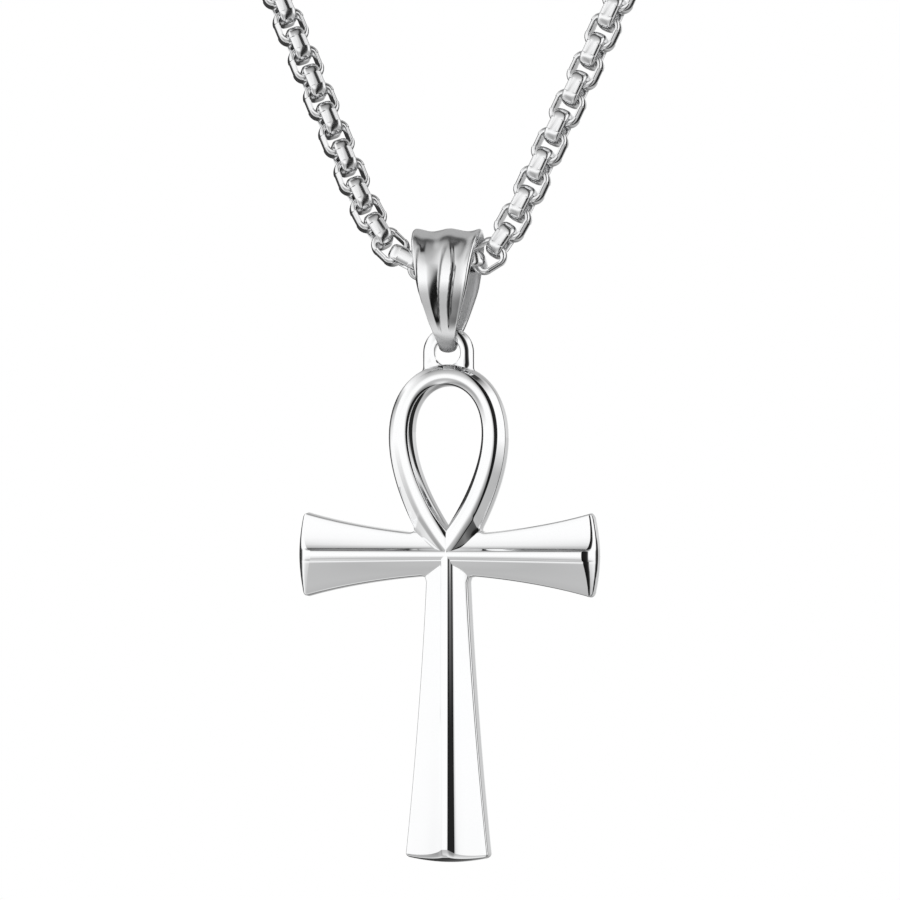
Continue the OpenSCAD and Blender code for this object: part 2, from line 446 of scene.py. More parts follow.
@dataclass(frozen=True)
class Steel:
    """A steel finish: its tint, polish and marks, and the dullness and painted shade that a piece's
    attributes add where it has them.
    """

    name: str
    tint: tuple[float, float, float]
    scale: float
    base: float
    spread: float
    haze: float
    grain: float
    bump: float
    # The next two scale a piece's dull attribute into roughness, and its attribute of painted shade into
    # a darker colour
    dull: float = 0.0
    recess: float = 0.0

    def build(self, marks: bpy.types.ShaderNodeTree) -> bpy.types.Material:
        """Builds the finish from the shared marks.

        Args:
            marks: The node group of polish_marks_group.

        Returns:
            The material.
        """
        material = bpy.data.materials.new(self.name)
        material.use_nodes = True
        wiring = Wiring(material.node_tree)
        shader = material.node_tree.nodes["Principled BSDF"]
        shader.inputs["Metallic"].default_value = 1.0
        wiring.nodes["shader"] = shader
        wiring.add("marks", "ShaderNodeGroup", {
            "Scale": self.scale, "Base": self.base, "Spread": self.spread, "Haze": self.haze,
            "Grain": self.grain,
        }, node_tree=marks)
        wiring.add("colour", "ShaderNodeMix", {"Factor": 1.0, "A": (*self.tint, 1.0)},
                   data_type="RGBA", blend_type="MULTIPLY")
        wiring.add("relief", "ShaderNodeBump", {"Strength": 1.0, "Distance": self.bump})
        # The first row paints shade: it darkens the colour by the piece's attribute of painted shade. The
        # second adds roughness by its dull attribute
        for dull_and_shade, amount, mark, goal in (
            ("recess", -self.recess, "Tone", "colour.B"),
            ("dull", self.dull, "Roughness", "shader.Roughness"),
        ):
            if not amount:
                wiring.join(f"marks.{mark} > {goal}")
                continue
            wiring.add(dull_and_shade, "ShaderNodeAttribute", attribute_name=dull_and_shade)
            wiring.sum(f"{dull_and_shade}_worn", "MULTIPLY_ADD", None, amount)
            wiring.join(f"{dull_and_shade}.Fac > {dull_and_shade}_worn.0", f"marks.{mark} > {dull_and_shade}_worn.2",
                        f"{dull_and_shade}_worn.0 > {goal}")
        wiring.join("colour.Result > shader.Base Color", "marks.Height > relief.Height",
                    "relief.Normal > shader.Normal")
        return material


PENDANT_STEEL = Steel(
    "pendant_mirror_steel", (0.96, 0.963, 0.968), scale=260, base=0.035, spread=0.03, haze=0.02,
    grain=0.3, bump=1e-7,
)
# Painted shade darkens the bail's colour by up to three quarters, in its channels and at its foot
BAIL_STEEL = Steel(
    "bail_cast_steel", (0.95, 0.953, 0.958), scale=420, base=0.07, spread=0.06, haze=0.03,
    grain=0.4, bump=3e-7, dull=0.38, recess=0.75,
)
CHAIN_STEEL = Steel(
    "chain_tumbled_steel", (0.94, 0.943, 0.948), scale=600, base=0.13, spread=0.07, haze=0.03,
    grain=0.4, bump=3e-7,
)
CLASP_STEEL = Steel(
    "clasp_steel", (0.93, 0.933, 0.938), scale=300, base=0.1, spread=0.08, haze=0.05,
    grain=0.5, bump=5e-7,
)


@dataclass
class Studio:
    """A white studio with its cards, a pale floor and the camera."""

    azimuth_deg: float = 11.0
    lens_mm: float = 198.0
    sensor_mm: float = 36.0
    distance: float = 0.45
    target: tuple[float, float, float] = (0.00019, -0.062, -0.1768)
    floor_radius: float = 0.3
    floor_drop: float = 0.042
    floor_tone: float = 0.93
    floor_rough: float = 0.9
    white: float = 1.04
    # Light round the horizon and higher. Columns: azimuth from the front towards +X, brightness
    high_round: tuple[tuple[float, float], ...] = (
        (-180, 1.0), (-168, 1.0), (-160, 0.02), (-116, 0.05), (-108, 0.3), (-100, 1.0),
        (14, 1.0), (26, 0.7), (29, 0.5), (31, 0.01), (48, 0.02), (56, 0.16), (60, 1.0),
        (108, 1.0), (116, 0.02), (150, 0.02), (157, 0.7), (164, 0.6), (172, 1.0), (180, 1.0),
    )
    # Light in the band just below the horizon, in the same columns
    low_round: tuple[tuple[float, float], ...] = (
        (-180, 0.3), (-160, 0.05), (-116, 0.05), (-108, 0.4), (-100, 0.9), (-84, 0.85),
        (-72, 0.6), (-50, 0.5), (-42, 0.55), (-34, 0.75), (-26, 0.95), (-20, 1.0), (4, 1.0),
        (14, 0.8), (22, 0.5), (29, 0.4), (31, 0.01), (48, 0.02), (56, 0.16), (60, 0.5), (108, 0.42),
        (116, 0.02), (150, 0.02), (156, 0.5), (168, 0.5), (180, 0.3),
    )
    # How much the first table counts. Columns: height of the direction, share
    by_height: tuple[tuple[float, float], ...] = (
        (-1, 0.0), (-0.3, 0.0), (-0.035, 1.0), (1, 1.0),
    )
    # Light over the top and under. Columns: angle up from the front and over the top, brightness
    over_top: tuple[tuple[float, float], ...] = (
        (-180, 0.9), (-90, 0.9), (-65, 0.75), (-50, 0.55), (-35, 0.48), (-20, 0.54), (-9, 0.85),
        (-4, 1.0), (6, 1.0), (13, 0.95), (24, 0.88), (34, 0.76), (44, 0.62), (58, 0.5),
        (72, 0.34), (84, 0.2), (86, 0.05), (100, 0.05), (101, 0.2), (103, 0.42),
        (162, 0.4), (170, 1.0), (180, 1.0),
    )
    # The cards behind end upwards. Directions by depth that count as behind, and heights
    # between which the cards fade out
    behind: tuple[float, float] = (-0.1, 0.1)
    card_top: tuple[float, float] = (0.3, 0.5)
    # The share across, as a direction, between which the light over the top fades out
    fade: tuple[float, float] = (0.5, 0.8)

    def light(self) -> None:
        """Builds the white tent with its dark cards as the world round the object."""
        world = bpy.data.worlds.new("studio_tent")
        bpy.context.scene.world = world
        world.use_nodes = True
        world.node_tree.nodes.clear()
        wiring = Wiring(world.node_tree)
        wiring.add("made", "ShaderNodeOutputWorld")
        wiring.add("sides", "ShaderNodeBackground")
        wiring.add("paper", "ShaderNodeBackground", {"Color": (1, 1, 1, 1), "Strength": 1.0})
        wiring.add("seen", "ShaderNodeMixShader")
        wiring.add("path", "ShaderNodeLightPath")
        wiring.add("place", "ShaderNodeTexCoord")
        wiring.add("split", "ShaderNodeSeparateXYZ")
        wiring.sum("front", "MULTIPLY", None, -1.0)
        for turn in ("round", "over"):
            wiring.sum(f"{turn}_angle", "ARCTAN2")
            wiring.sum(f"{turn}_share", "MULTIPLY_ADD", None, 0.5 / math.pi, 0.5)
        for name, rows in (("low", self.low_round), ("high", self.high_round),
                           ("over", self.over_top)):
            wiring.ramp(name, rows, -180, 180)
        wiring.sum("height", "MULTIPLY_ADD", None, 0.5, 0.5)
        wiring.ramp("rise", self.by_height, -1, 1)
        wiring.sum("across", "ABSOLUTE")
        wiring.span("away", *self.fade)
        wiring.span("behind", *self.behind)
        wiring.span("above", *self.card_top)
        wiring.add("around", "ShaderNodeMix")
        for name in ("faded", "open_top"):
            wiring.add(name, "ShaderNodeMix", {"B": 1.0})
        for name in ("over_cards", "both"):
            wiring.sum(name, "MULTIPLY")
        wiring.sum("level", "MULTIPLY", None, self.white)
        wiring.sum("plain", "MAXIMUM")
        wiring.join(
            "place.Generated > split.0", "split.Y > front.0",
            "split.X > round_angle.0", "front.0 > round_angle.1", "round_angle.0 > round_share.0",
            "split.Z > over_angle.0", "front.0 > over_angle.1", "over_angle.0 > over_share.0",
            "round_share.0 > low.Value", "round_share.0 > high.Value", "over_share.0 > over.Value",
            "split.Z > height.0", "height.0 > rise.Value",
            "rise.0 > around.Factor", "low.0 > around.A", "high.0 > around.B",
            "split.X > across.0", "across.0 > away.Value",
            "away.Result > faded.Factor", "over.0 > faded.A",
            "split.Y > behind.Value", "split.Z > above.Value",
            "behind.Result > over_cards.0", "above.Result > over_cards.1",
            "over_cards.0 > open_top.Factor", "around.Result > open_top.A",
            "open_top.Result > both.0", "faded.Result > both.1", "both.0 > level.0",
            "level.0 > sides.Color", "path.Is Camera Ray > plain.0",
            "path.Is Diffuse Ray > plain.1", "plain.0 > seen.0", "sides.0 > seen.1",
            "paper.0 > seen.2", "seen.0 > made.Surface",
        )
        bpy.context.scene.view_settings.view_transform = "Standard"

    def lay_floor(self) -> None:
        """Lays a plain pale round floor under the object."""
        low = CAD_BOX[0]
        Bench.clear()
        bpy.ops.mesh.primitive_circle_add(
            vertices=96, radius=self.floor_radius, fill_type="NGON",
            location=(0, 0, low.z - self.floor_drop),
        )
        floor = bpy.context.object
        floor.name = "floor"
        material = bpy.data.materials.new("pale_floor")
        material.use_nodes = True
        shader = material.node_tree.nodes["Principled BSDF"]
        shader.inputs["Base Color"].default_value = (*[self.floor_tone] * 3, 1)
        shader.inputs["Roughness"].default_value = self.floor_rough
        floor.data.materials.append(material)
        floor.visible_glossy = False

    def place_camera(self) -> None:
        """Places the camera at the photograph's angle."""
        data = bpy.data.cameras.new("camera")
        data.lens = self.lens_mm
        data.sensor_width = self.sensor_mm
        data.clip_start = 0.01
        data.clip_end = 10
        camera = bpy.data.objects.new("camera", data)
        bpy.context.scene.collection.objects.link(camera)
        angle = math.radians(self.azimuth_deg)
        back = Vector((math.sin(angle), -math.cos(angle), 0))
        camera.location = Vector(self.target) + back * self.distance
        camera.rotation_mode = "QUATERNION"
        camera.rotation_quaternion = (-back).to_track_quat("-Z", "Y")
        bpy.context.scene.camera = camera

    def build(self) -> None:
        """Builds the camera, the floor and the light."""
        self.place_camera()
        self.lay_floor()
        self.light()


@dataclass
class BoxChain:
    """A round box chain: closed links of half-round wire, each turned a quarter to the next."""

    pitch: float = 1.924
    phase: float = 0.23
    link_l: float = 3.42
    link_w: float = 2.96
    hole_l: float = 1.96
    hole_w: float = 2.06
    band_w: float = 1.5
    outer_r: float = 1.09
    hole_r: float = 0.38
    step_l: float = 0.05
    clasp_l: float = 12.6
    lead: float = 2.7
    nape: tuple[float, float, float] = (0.0, 117.0, 161.0)
    fine_below: float = 34.0
    facing_deg: float = 9.0
    turned_deg: float = 17.0
    twist_l: float = 8.0
    turned_l: float = 6.0
    turned_below: float = 60.0
    way_step: float = 0.25
    front_steps: int = 8
    front_crease_deg: float = 30.0
    plain_steps: int = 2
    plain_crease_deg: float = 60.0
    # The route from the clasp down the left side, through the bail and up the right side.
    route: tuple[Point, ...] = (
        (-19, 115.3, 161), (-33, 109.5, 160), (-46, 99.5, 158), (-56, 86.5, 155),
        (-62, 71.5, 151), (-64.5, 56.5, 145), (-63.5, 42.5, 137), (-60, 29.5, 126),
        (-54, 19.5, 111), (-45.5, 14, 90), (-32.2, 9, 60), (-18.9, 4.5, 30), (-10, 1.5, 10),
        (-8.4, 0.9, 6.4), (-6.5, 0.4, 3.1), (-5, 0.1, 1.4), (-3.4, 0, 0.4), (-1.9, 0, 0),
        (-0.5, 0, -0.1), (0.9, 0, 0), (2.5, 0, 0.3), (3.9, 0.1, 1), (5.2, 0.4, 2.6), (7, 0.9, 6),
        (8.8, 1.5, 10), (17.7, 4.5, 30), (31, 9, 60), (44.4, 14, 90), (53.5, 19.5, 111),
        (60, 29.5, 126), (63.5, 42.5, 137), (64.5, 56.5, 145), (62, 71.5, 151), (56, 86.5, 155),
        (46, 99.5, 158), (33, 109.5, 160), (19, 115.3, 161),
    )
    # Half of the wire's section, straight and where it bends. Columns: share of the thickness,
    # share of the half width
    wire: tuple[tuple[float, float], ...] = (
        (0.0, 0.0), (0.0, 0.5), (0.0, 0.9), (0.05, 0.97), (0.16, 1.0), (0.32, 0.98), (0.5, 0.9),
        (0.68, 0.76), (0.8, 0.62), (0.885, 0.47), (0.95, 0.3), (0.99, 0.1), (1.0, 0.0),
    )
    wire_bend: tuple[tuple[float, float], ...] = (
        (0.0, 0.0), (0.0, 0.5), (0.0, 0.9), (0.05, 0.97), (0.16, 1.0), (0.36, 1.0), (0.56, 0.96),
        (0.74, 0.86), (0.86, 0.74), (0.93, 0.6), (0.97, 0.42), (0.99, 0.2), (0.99, 0.0),
    )
    wire_plain: tuple[tuple[float, float], ...] = ((0.0, 0.8), (0.3, 1.0), (1.0, 0.4))

    def link_rings(self, steps: int, straight: Sequence[Sequence[float]],
                   bend: Sequence[Sequence[float]]) -> list[Ring]:
        """Works out a link, whose hole is seen along Z and whose length lies along X.

        Args:
            steps: The steps round each corner.
            straight: Half of the wire's section along the link's sides.
            bend: Half of its section round the ends.

        Returns:
            The rings of the wire round the link.
        """
        sections = []
        for half_wire in (straight, bend):
            section = list(half_wire)
            sections.append(section + [(t, -w) for t, w in reversed(half_wire) if w])
        outer = (self.link_l / 2 - self.outer_r, self.link_w / 2 - self.outer_r)
        hole = (self.hole_l / 2 - self.hole_r, self.hole_w / 2 - self.hole_r)
        corner = [(0.0, k / steps * math.pi / 2, True) for k in range(steps + 1)]
        corner.append((-self.step_l, math.pi / 2, False))
        rings = []
        for quarter in range(4):
            side = Vector((1 if quarter in (0, 3) else -1, 1 if quarter < 2 else -1, 0))
            for shift, angle, bent in corner if quarter % 2 == 0 else corner[::-1]:
                way = Vector((math.cos(angle), math.sin(angle), 0))
                out = Vector((outer[0] + shift, outer[1], 0)) + way * self.outer_r
                into = Vector((hole[0] + shift, hole[1], 0)) + way * self.hole_r
                rings.append([
                    into.lerp(out, t) * side + Vector((0, 0, w * self.band_w / 2))
                    for t, w in sections[bent]
                ])
        return rings

    def way(self) -> list[Vector]:
        """Works out the whole route.

        Returns:
            Closely spaced points, from the chain's low point.
        """
        nape = Vector(self.nape)
        ends = [Vector((self.clasp_l / 2 + x, 0, 0)) for x in (0.0, self.lead)]
        knots = [nape - x for x in ends] + [Vector(p) for p in self.route]
        knots += [nape + x for x in reversed(ends)]
        found = []
        for i in range(len(knots) - 1):
            a, b = knots[max(i - 1, 0)], knots[i]
            c, d = knots[i + 1], knots[min(i + 2, len(knots) - 1)]
            steps = max(2, round((c - b).length / self.way_step))
            for k in range(steps):
                t = k / steps
                found.append(0.5 * (2 * b + (c - a) * t + (2 * a - 5 * b + 4 * c - d) * t * t
                                    + (3 * b - a - 3 * c + d) * t ** 3))
        return [*found, knots[-1]]

    def stations(self) -> list[tuple[Vector, Vector]]:
        """Spaces the links evenly along the route.

        Returns:
            The place and direction of each link.
        """
        points = self.way()
        run = [0.0]
        for a, b in zip(points, points[1:]):
            run.append(run[-1] + (b - a).length)
        count = round(run[-1] / self.pitch)
        found, at = [], 0
        for i in range(count):
            want = run[-1] * (i + 0.5) / count + self.phase
            while run[at + 1] < want:
                at += 1
            t = (want - run[at]) / (run[at + 1] - run[at])
            found.append((points[at].lerp(points[at + 1], t), (points[at + 1] - points[at]).normalized()))
        LOG.info("chain of %d links, %.1f mm long", count, run[-1])
        return found

    def facings(self, stations: Sequence[tuple[Vector, Vector]]) -> list[Vector]:
        """Works out which way the links face.

        Args:
            stations: The places and directions of the links.

        Returns:
            For each link the direction that the even links' bands face, square to the chain.
        """
        low = min(range(len(stations)), key=lambda i: abs(stations[i][0].x) + abs(stations[i][0].z))
        faces: list[Vector] = [Vector()] * len(stations)
        for step in (-1, 1):
            before = None
            i = low
            while 0 <= i < len(stations):
                place, along = stations[i]
                if place.z < self.turned_below:
                    lean = max(-1.0, min(1.0, place.x / self.turned_l))
                    angle = math.radians(self.facing_deg - self.turned_deg * lean)
                    want = Vector((math.sin(angle), -math.cos(angle), 0))
                else:
                    want = before
                before = (want - along * want.dot(along)).normalized()
                turned = (place.x / self.twist_l if place.z < self.turned_below
                          else math.copysign(1, place.x))
                twist = math.pi / 2 * ease(turned + 0.5)
                faces[i] = Quaternion(along, twist) @ before
                i += step
        return faces

    def build(self, material: bpy.types.Material) -> list[bpy.types.Object]:
        """Builds the links as two pieces: the ones in front, finely, and the plain rest.

        Args:
            material: The links' finish.

        Returns:
            The two pieces.
        """
        stations = self.stations()
        faces = self.facings(stations)
        made = []
        groups = (
            ("chain_front_links", True, self.front_crease_deg,
             self.link_rings(self.front_steps, self.wire, self.wire_bend)),
            ("chain_links", False, self.plain_crease_deg,
             self.link_rings(self.plain_steps, self.wire_plain, self.wire_plain)),
        )
        for name, front, crease_deg, rings in groups:
            first = Bench.form(f"{name}_pattern", rings, capped=False)
            Bench.pick(first)
            bpy.ops.object.shade_smooth_by_angle(angle=math.radians(crease_deg))
            copies = []
            for i, ((place, along), face) in enumerate(zip(stations, faces)):
                if (place.z < self.fine_below) != front:
                    continue
                across = along.cross(face)
                up = face if i % 2 else across
                side = up.cross(along)
                turn = Matrix((along, side, up)).transposed().to_4x4()
                copy = first.copy()
                copy.data = first.data.copy()
                copy.data.transform(Matrix.Translation(place) @ turn)
                bpy.context.scene.collection.objects.link(copy)
                copies.append(copy)
            bpy.data.objects.remove(first)
            Bench.pick(*copies)
            bpy.ops.object.join()
            chain = bpy.context.object
            chain.name = name
            chain.data.name = name
            Bench.seat(chain, HANG)
            Bench.finish(chain, material, Slot.CHAIN, Body.NECKLACE)
            made.append(chain)
        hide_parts("chain")
        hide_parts("chain")
        return made


@dataclass
class Clasp:
    """The plain clasp at the nape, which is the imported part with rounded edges."""

    length: float = 12.4
    width: float = 5.0
    depth: float = 2.8
    cap_l: float = 2.4
    cap_d: float = 3.0
    edge: float = 0.5
    chamfer: float = 0.3
    lap: float = 1.0
    cap_edge: float = 0.25
    crease_deg: float = 40.0
    steps: int = 48
    cap_steps: int = 40

    def build(self, chain: BoxChain, material: bpy.types.Material) -> bpy.types.Object:
        """Builds the clasp's flat body and its two caps as one shell.

        Args:
            chain: The chain whose ends it holds.
            material: The clasp's finish.

        Returns:
            The clasp.
        """
        body_l = self.length - 2 * self.cap_l + self.lap
        half = self.depth / 2
        outline = []
        for step in range(self.steps):
            angle = 2 * math.pi * step / self.steps
            shift = (body_l - self.width) / 2 * (1 if math.cos(angle) > 0 else -1)
            outline.append((shift, math.cos(angle), math.sin(angle)))
        cut = self.edge * self.chamfer
        levels = [(-half, self.edge), (-half + cut, cut), (-half + self.edge, 0.0)]
        levels += [(-y, inset) for y, inset in reversed(levels)]
        rings = [
            [Vector((s + c * (self.width / 2 - inset), y, z * (self.width / 2 - inset)))
             for s, c, z in outline]
            for y, inset in levels
        ]
        body = Bench.form("clasp_body", rings, capped=True)
        caps = []
        for side in (-1, 1):
            ends = [(0.0, self.cap_edge), (self.cap_edge, 0.0),
                    (self.cap_l - self.cap_edge, 0.0), (self.cap_l, self.cap_edge)]
            caps.append(Bench.form("clasp_cap", [
                [Vector((side * (self.length / 2 - x), math.cos(a) * (self.cap_d / 2 - inset),
                         math.sin(a) * (self.cap_d / 2 - inset)))
                 for a in (2 * math.pi * k / self.cap_steps for k in range(self.cap_steps))]
                for x, inset in ends
            ], capped=True))
        Bench.fuse(body, caps)
        Bench.crease(body, self.crease_deg)
        body.name = "clasp_shell"
        Bench.seat(body, HANG + Vector(chain.nape))
        Bench.finish(body, material, Slot.CLASP, Body.NECKLACE)
        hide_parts("clasp")
        return body


@dataclass
class Bail:
    """The fluted bail, a closed band that tapers to the foot in the ankh's eye."""

    height: float = 11.3
    depth: float = 6.9
    width: float = 6.4
    foot_w: float = 1.3
    wall: float = 0.9
    foot_t: float = 0.9
    top: float = 3.35
    flute_depth: float = 0.42
    crease_deg: float = 34.0
    # The flutes' depth where the bail is narrow, and at its back, as shares
    narrow_flutes: float = 0.6
    back_flutes: float = 0.8
    # How deep the valleys between the lobes and the channels between the leaves are cut, how
    # late a channel falls off, how softly the lobes meet, and where the left channel begins
    lobe_cut: float = 0.8
    leaf_cut: float = 1.3
    leaf_fall: float = 1.2
    lobe_blur: float = 0.06
    left_edge: float = -1.25
    # The rounding of the rims and of the foot's crown, as shares of the wall, and the rims' width
    rim: float = 0.1
    rim_loss: float = 0.45
    crown: float = 0.5
    # The painted shade in a channel, in place of the dark that it reflects: over its middle above, from
    # its edge on below, the left one's share, the painted dark line at its steep side, and the foot's own
    # painted shade
    dark_high: float = 0.3
    dark_low: float = 0.75
    dark_edge: float = 0.12
    dark_left: float = 0.4
    dark_line: float = 0.95
    dark_foot: float = 0.5
    # How dull the top and the recesses are
    dull_top: float = 0.36
    dull_recess: float = 0.2
    steps: int = 150
    across: int = 44
    # Zones of the front, between two shares of the height: the foot, worn dull and darkened by painted
    # shade, its crown, where the leaves begin, where they give way to the lobes, and where the top is
    # satin
    foot_zone: tuple[float, float] = (0.07, 0.15)
    crown_zone: tuple[float, float] = (0.02, 0.16)
    leaf_zone: tuple[float, float] = (0.16, 0.32)
    lobe_zone: tuple[float, float] = (0.66, 0.9)
    satin_zone: tuple[float, float] = (0.78, 0.9)
    # Zones of the painted shade in the channels, up the height, and across them of its painted dark line
    dark_zone: tuple[float, float] = (0.16, 0.26)
    light_zone: tuple[float, float] = (0.76, 0.9)
    deep_zone: tuple[float, float] = (0.62, 0.38)
    line_zone: tuple[float, float] = (0.74, 0.86)
    line_end: tuple[float, float] = (1.02, 0.94)
    lip_zone: tuple[float, float] = (1.0, 0.76)
    # What the side outlines' formulas come to where they reach furthest
    outer_peak: float = 0.862
    inner_peak: float = 0.936
    # How pointed these outlines are at the foot, and the share of the wall that the sides keep
    outer_point: float = 0.5
    inner_point: float = 0.2
    side_wall: float = 0.95
    # Width from the foot to the top. Columns: share of the height, share of the difference
    taper: tuple[tuple[float, float], ...] = (
        (0, 0.06), (0.07, 0.06), (0.14, 0.14), (0.2, 0.25), (0.34, 0.43), (0.5, 0.64),
        (0.66, 0.75), (0.82, 0.86), (1, 1),
    )
    # The leaves. Columns: share of the height, left, middle and right one's place, half widths
    leaves: tuple[tuple[float, ...], ...] = (
        (0.0, -0.6, 0.1, 0.98, 0.3, 0.3, 0.1), (0.2, -0.72, 0.06, 0.98, 0.24, 0.26, 0.1),
        (0.37, -0.76, 0.07, 1.0, 0.2, 0.18, 0.1), (0.7, -0.68, 0.2, 0.92, 0.14, 0.155, 0.1),
        (0.8, -0.67, 0.21, 0.92, 0.08, 0.08, 0.1), (0.86, -0.66, 0.22, 0.92, 0.0, 0.0, 0.08),
        (1.0, -0.66, 0.22, 0.95, 0.0, 0.0, 0.05),
    )
    # How the wall's inner face rises at its rims. Columns: place across, share of the wall
    inner_rim: tuple[tuple[float, float], ...] = ((0.995, 0.3), (0.97, 0.1))
    # The lobes of the top. Columns: place across, turns from the left lobe's middle
    lobes: tuple[tuple[float, float], ...] = (
        (-1.3, -0.4), (-0.9, 0.0), (-0.47, 0.5), (0.07, 1.0), (0.6, 1.5), (1.03, 2.0), (1.3, 2.3),
    )

    def outer(self, angle: float) -> Vector:
        """Returns the outer outline from the side, at an angle from the foot: (depth, height)."""
        reach = self.depth / 2 / self.outer_peak * math.sin(angle)
        reach *= abs(math.sin(angle / 2)) ** self.outer_point
        return Vector((reach, self.top - self.height / 2 - self.height / 2 * math.cos(angle)))

    def inner(self, angle: float) -> Vector:
        """Returns the inner outline from the side, at an angle from the foot: (depth, height)."""
        top = self.top - self.wall
        foot = self.top - self.height + self.foot_t
        reach = (self.depth / 2 - self.wall * self.side_wall) / self.inner_peak * math.sin(angle)
        reach *= abs(math.sin(angle / 2)) ** self.inner_point
        return Vector((reach, (top + foot) / 2 - (top - foot) / 2 * math.cos(angle)))

    def smooth_taper(self, share: float) -> float:
        """Returns the taper at a share of the height, rounded between the table's rows."""
        spread = 0.06
        near = [table_value(self.taper, share + spread * k / 4) for k in range(-4, 5)]
        return sum(near) / len(near)

    def half(self, share: float) -> float:
        """Returns half the bail's width at a share of its height."""
        return mix(self.foot_w, self.width, self.smooth_taper(share)) / 2

    def channel(self, s: float, share: float) -> tuple[int, float]:
        """Finds the channel between the leaves that a place lies in.

        Args:
            s: The place across, from -1 to 1.
            share: The share of the height.

        Returns:
            The channel, counted from 1 at the left, and how far across it towards its steep side
            the place lies. Both are 0 on a leaf.
        """
        row = [table_value(self.leaves, share, k) for k in range(1, 7)]
        lows = (self.left_edge, row[0] + row[3], row[1] + row[4])
        highs = (row[0] - row[3], row[1] - row[4], row[2] - row[5])
        for k, (low, high) in enumerate(zip(lows, highs), 1):
            if low < s < high:
                return k, (s - low if k < 3 else high - s) / (high - low)
        return 0, 0.0

    def groove(self, s: float, share: float) -> float:
        """Works out how deep the front lies below its leaves and lobes.

        Args:
            s: The place across, from -1 to 1.
            share: The share of the height.

        Returns:
            The depth as a share of the flutes' depth.
        """
        turns = sum(table_value(self.lobes, s + self.lobe_blur * k) for k in range(-2, 3)) / 5
        wave = self.lobe_cut * (1 - math.cos(2 * math.pi * turns)) / 2
        _, t = self.channel(s, share)
        cut = self.leaf_cut * t ** self.leaf_fall * zone(t, self.lip_zone)
        return mix(cut * zone(share, self.leaf_zone), wave, zone(share, self.lobe_zone))

    def dull_and_shade(self, s: float, share: float, inside: bool) -> tuple[float, float]:
        """Works out the bail's dullness and its painted shade.

        Args:
            s: The place across, from -1 to 1.
            share: The share of the height.
            inside: True on the inner face.

        Returns:
            How dull the surface is, and how dark painted shade makes it in its channels and at its foot.
        """
        if inside:
            return 1.0, 0.0
        foot = 1 - zone(share, self.foot_zone)
        which, t = self.channel(s, share)
        # Painted shade: the channels darken, and a painted dark line runs along each steep side, in place
        # of the dark that polished channels reflect. The foot darkens too
        shade = mix(self.dark_high * math.sin(math.pi * t), self.dark_low * ease(t / self.dark_edge),
                    zone(share, self.deep_zone))
        line = self.dark_line * zone(t, self.line_zone) * zone(t, self.line_end)
        ends = zone(share, self.dark_zone) * (1 - zone(share, self.light_zone))
        recess = ends * max(shade * (self.dark_left if which == 1 else 1.0), line)
        satin = self.dull_top * zone(share, self.satin_zone)
        return max(foot, satin, self.dull_recess * recess), max(self.dark_foot * foot, recess)

    def ring(self, angle: float) -> tuple[Ring, list[tuple[float, float]]]:
        """Works out a closed ring of the wall, from its outer face round its inner one.

        Args:
            angle: The angle from the foot, seen from the side.

        Returns:
            The ring's points, and the dullness and painted shade of each of them.
        """
        out_p, in_p = self.outer(angle), self.inner(angle)
        share = (out_p.y - self.top + self.height) / self.height
        half = self.half(share)
        wall = (out_p - in_p).length
        out = (out_p - in_p) / wall
        depth = self.flute_depth * mix(self.narrow_flutes, 1.0, half / (self.width / 2))
        if out_p.x > 0:
            depth *= self.back_flutes
        crown = self.crown * (1 - zone(share, self.crown_zone))
        ring, dull_and_shade = [], []
        for k in range(-self.across, self.across + 1):
            s = math.sin(math.pi / 2 * k / self.across) if abs(k) == self.across else k / self.across
            near = max(0.0, (abs(s) - (1 - self.rim)) / self.rim)
            lost = max(self.rim_loss * bulge(near), crown * bulge(s))
            p = out_p - out * (self.groove(s, share) * depth + lost * wall)
            ring.append(Vector((s * half, p.x, p.y)))
            dull_and_shade.append(self.dull_and_shade(s, share, False))
        half_turn = [*self.inner_rim, *((s / 10, 0.0) for s in range(9, 0, -1))]
        for s, lift in half_turn + [(0.0, 0.0)] + [(-s, lift) for s, lift in reversed(half_turn)]:
            p = in_p + out * wall * max(lift, crown * bulge(s))
            ring.append(Vector((s * half, p.x, p.y)))
            dull_and_shade.append(self.dull_and_shade(s, share, True))
        return ring, dull_and_shade

    def build(self, material: bpy.types.Material) -> bpy.types.Object:
        """Builds the bail as one closed shell.

        Args:
            material: Its finish.

        Returns:
            The bail.
        """
        made = [self.ring((k + 0.5) * 2 * math.pi / self.steps) for k in range(self.steps)]
        # The second layer is painted shade for the channels and the foot
        layers = {name: [[point[k] for point in dull_and_shade] for _, dull_and_shade in made]
                  for k, name in enumerate(("dull", "recess"))}
        bail = Bench.form("bail_fluted", [ring for ring, _ in made], False, layers)
        Bench.crease(bail, self.crease_deg)
        Bench.seat(bail, HANG)
        Bench.finish(bail, material, Slot.PENDANT, Body.BAIL)
        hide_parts("bail")
        return bail


@dataclass(frozen=True)
class Flank:
    """One side of a limb's front, as slopes away from its crest.

    The tables' columns are the distance from the crest and the slope there, at the crossing and
    at the limb's end. A distance below nothing counts from the edge, and the last row stands at
    the edge in any case.
    """

    root: tuple[tuple[float, float], ...]
    end: tuple[tuple[float, float], ...]


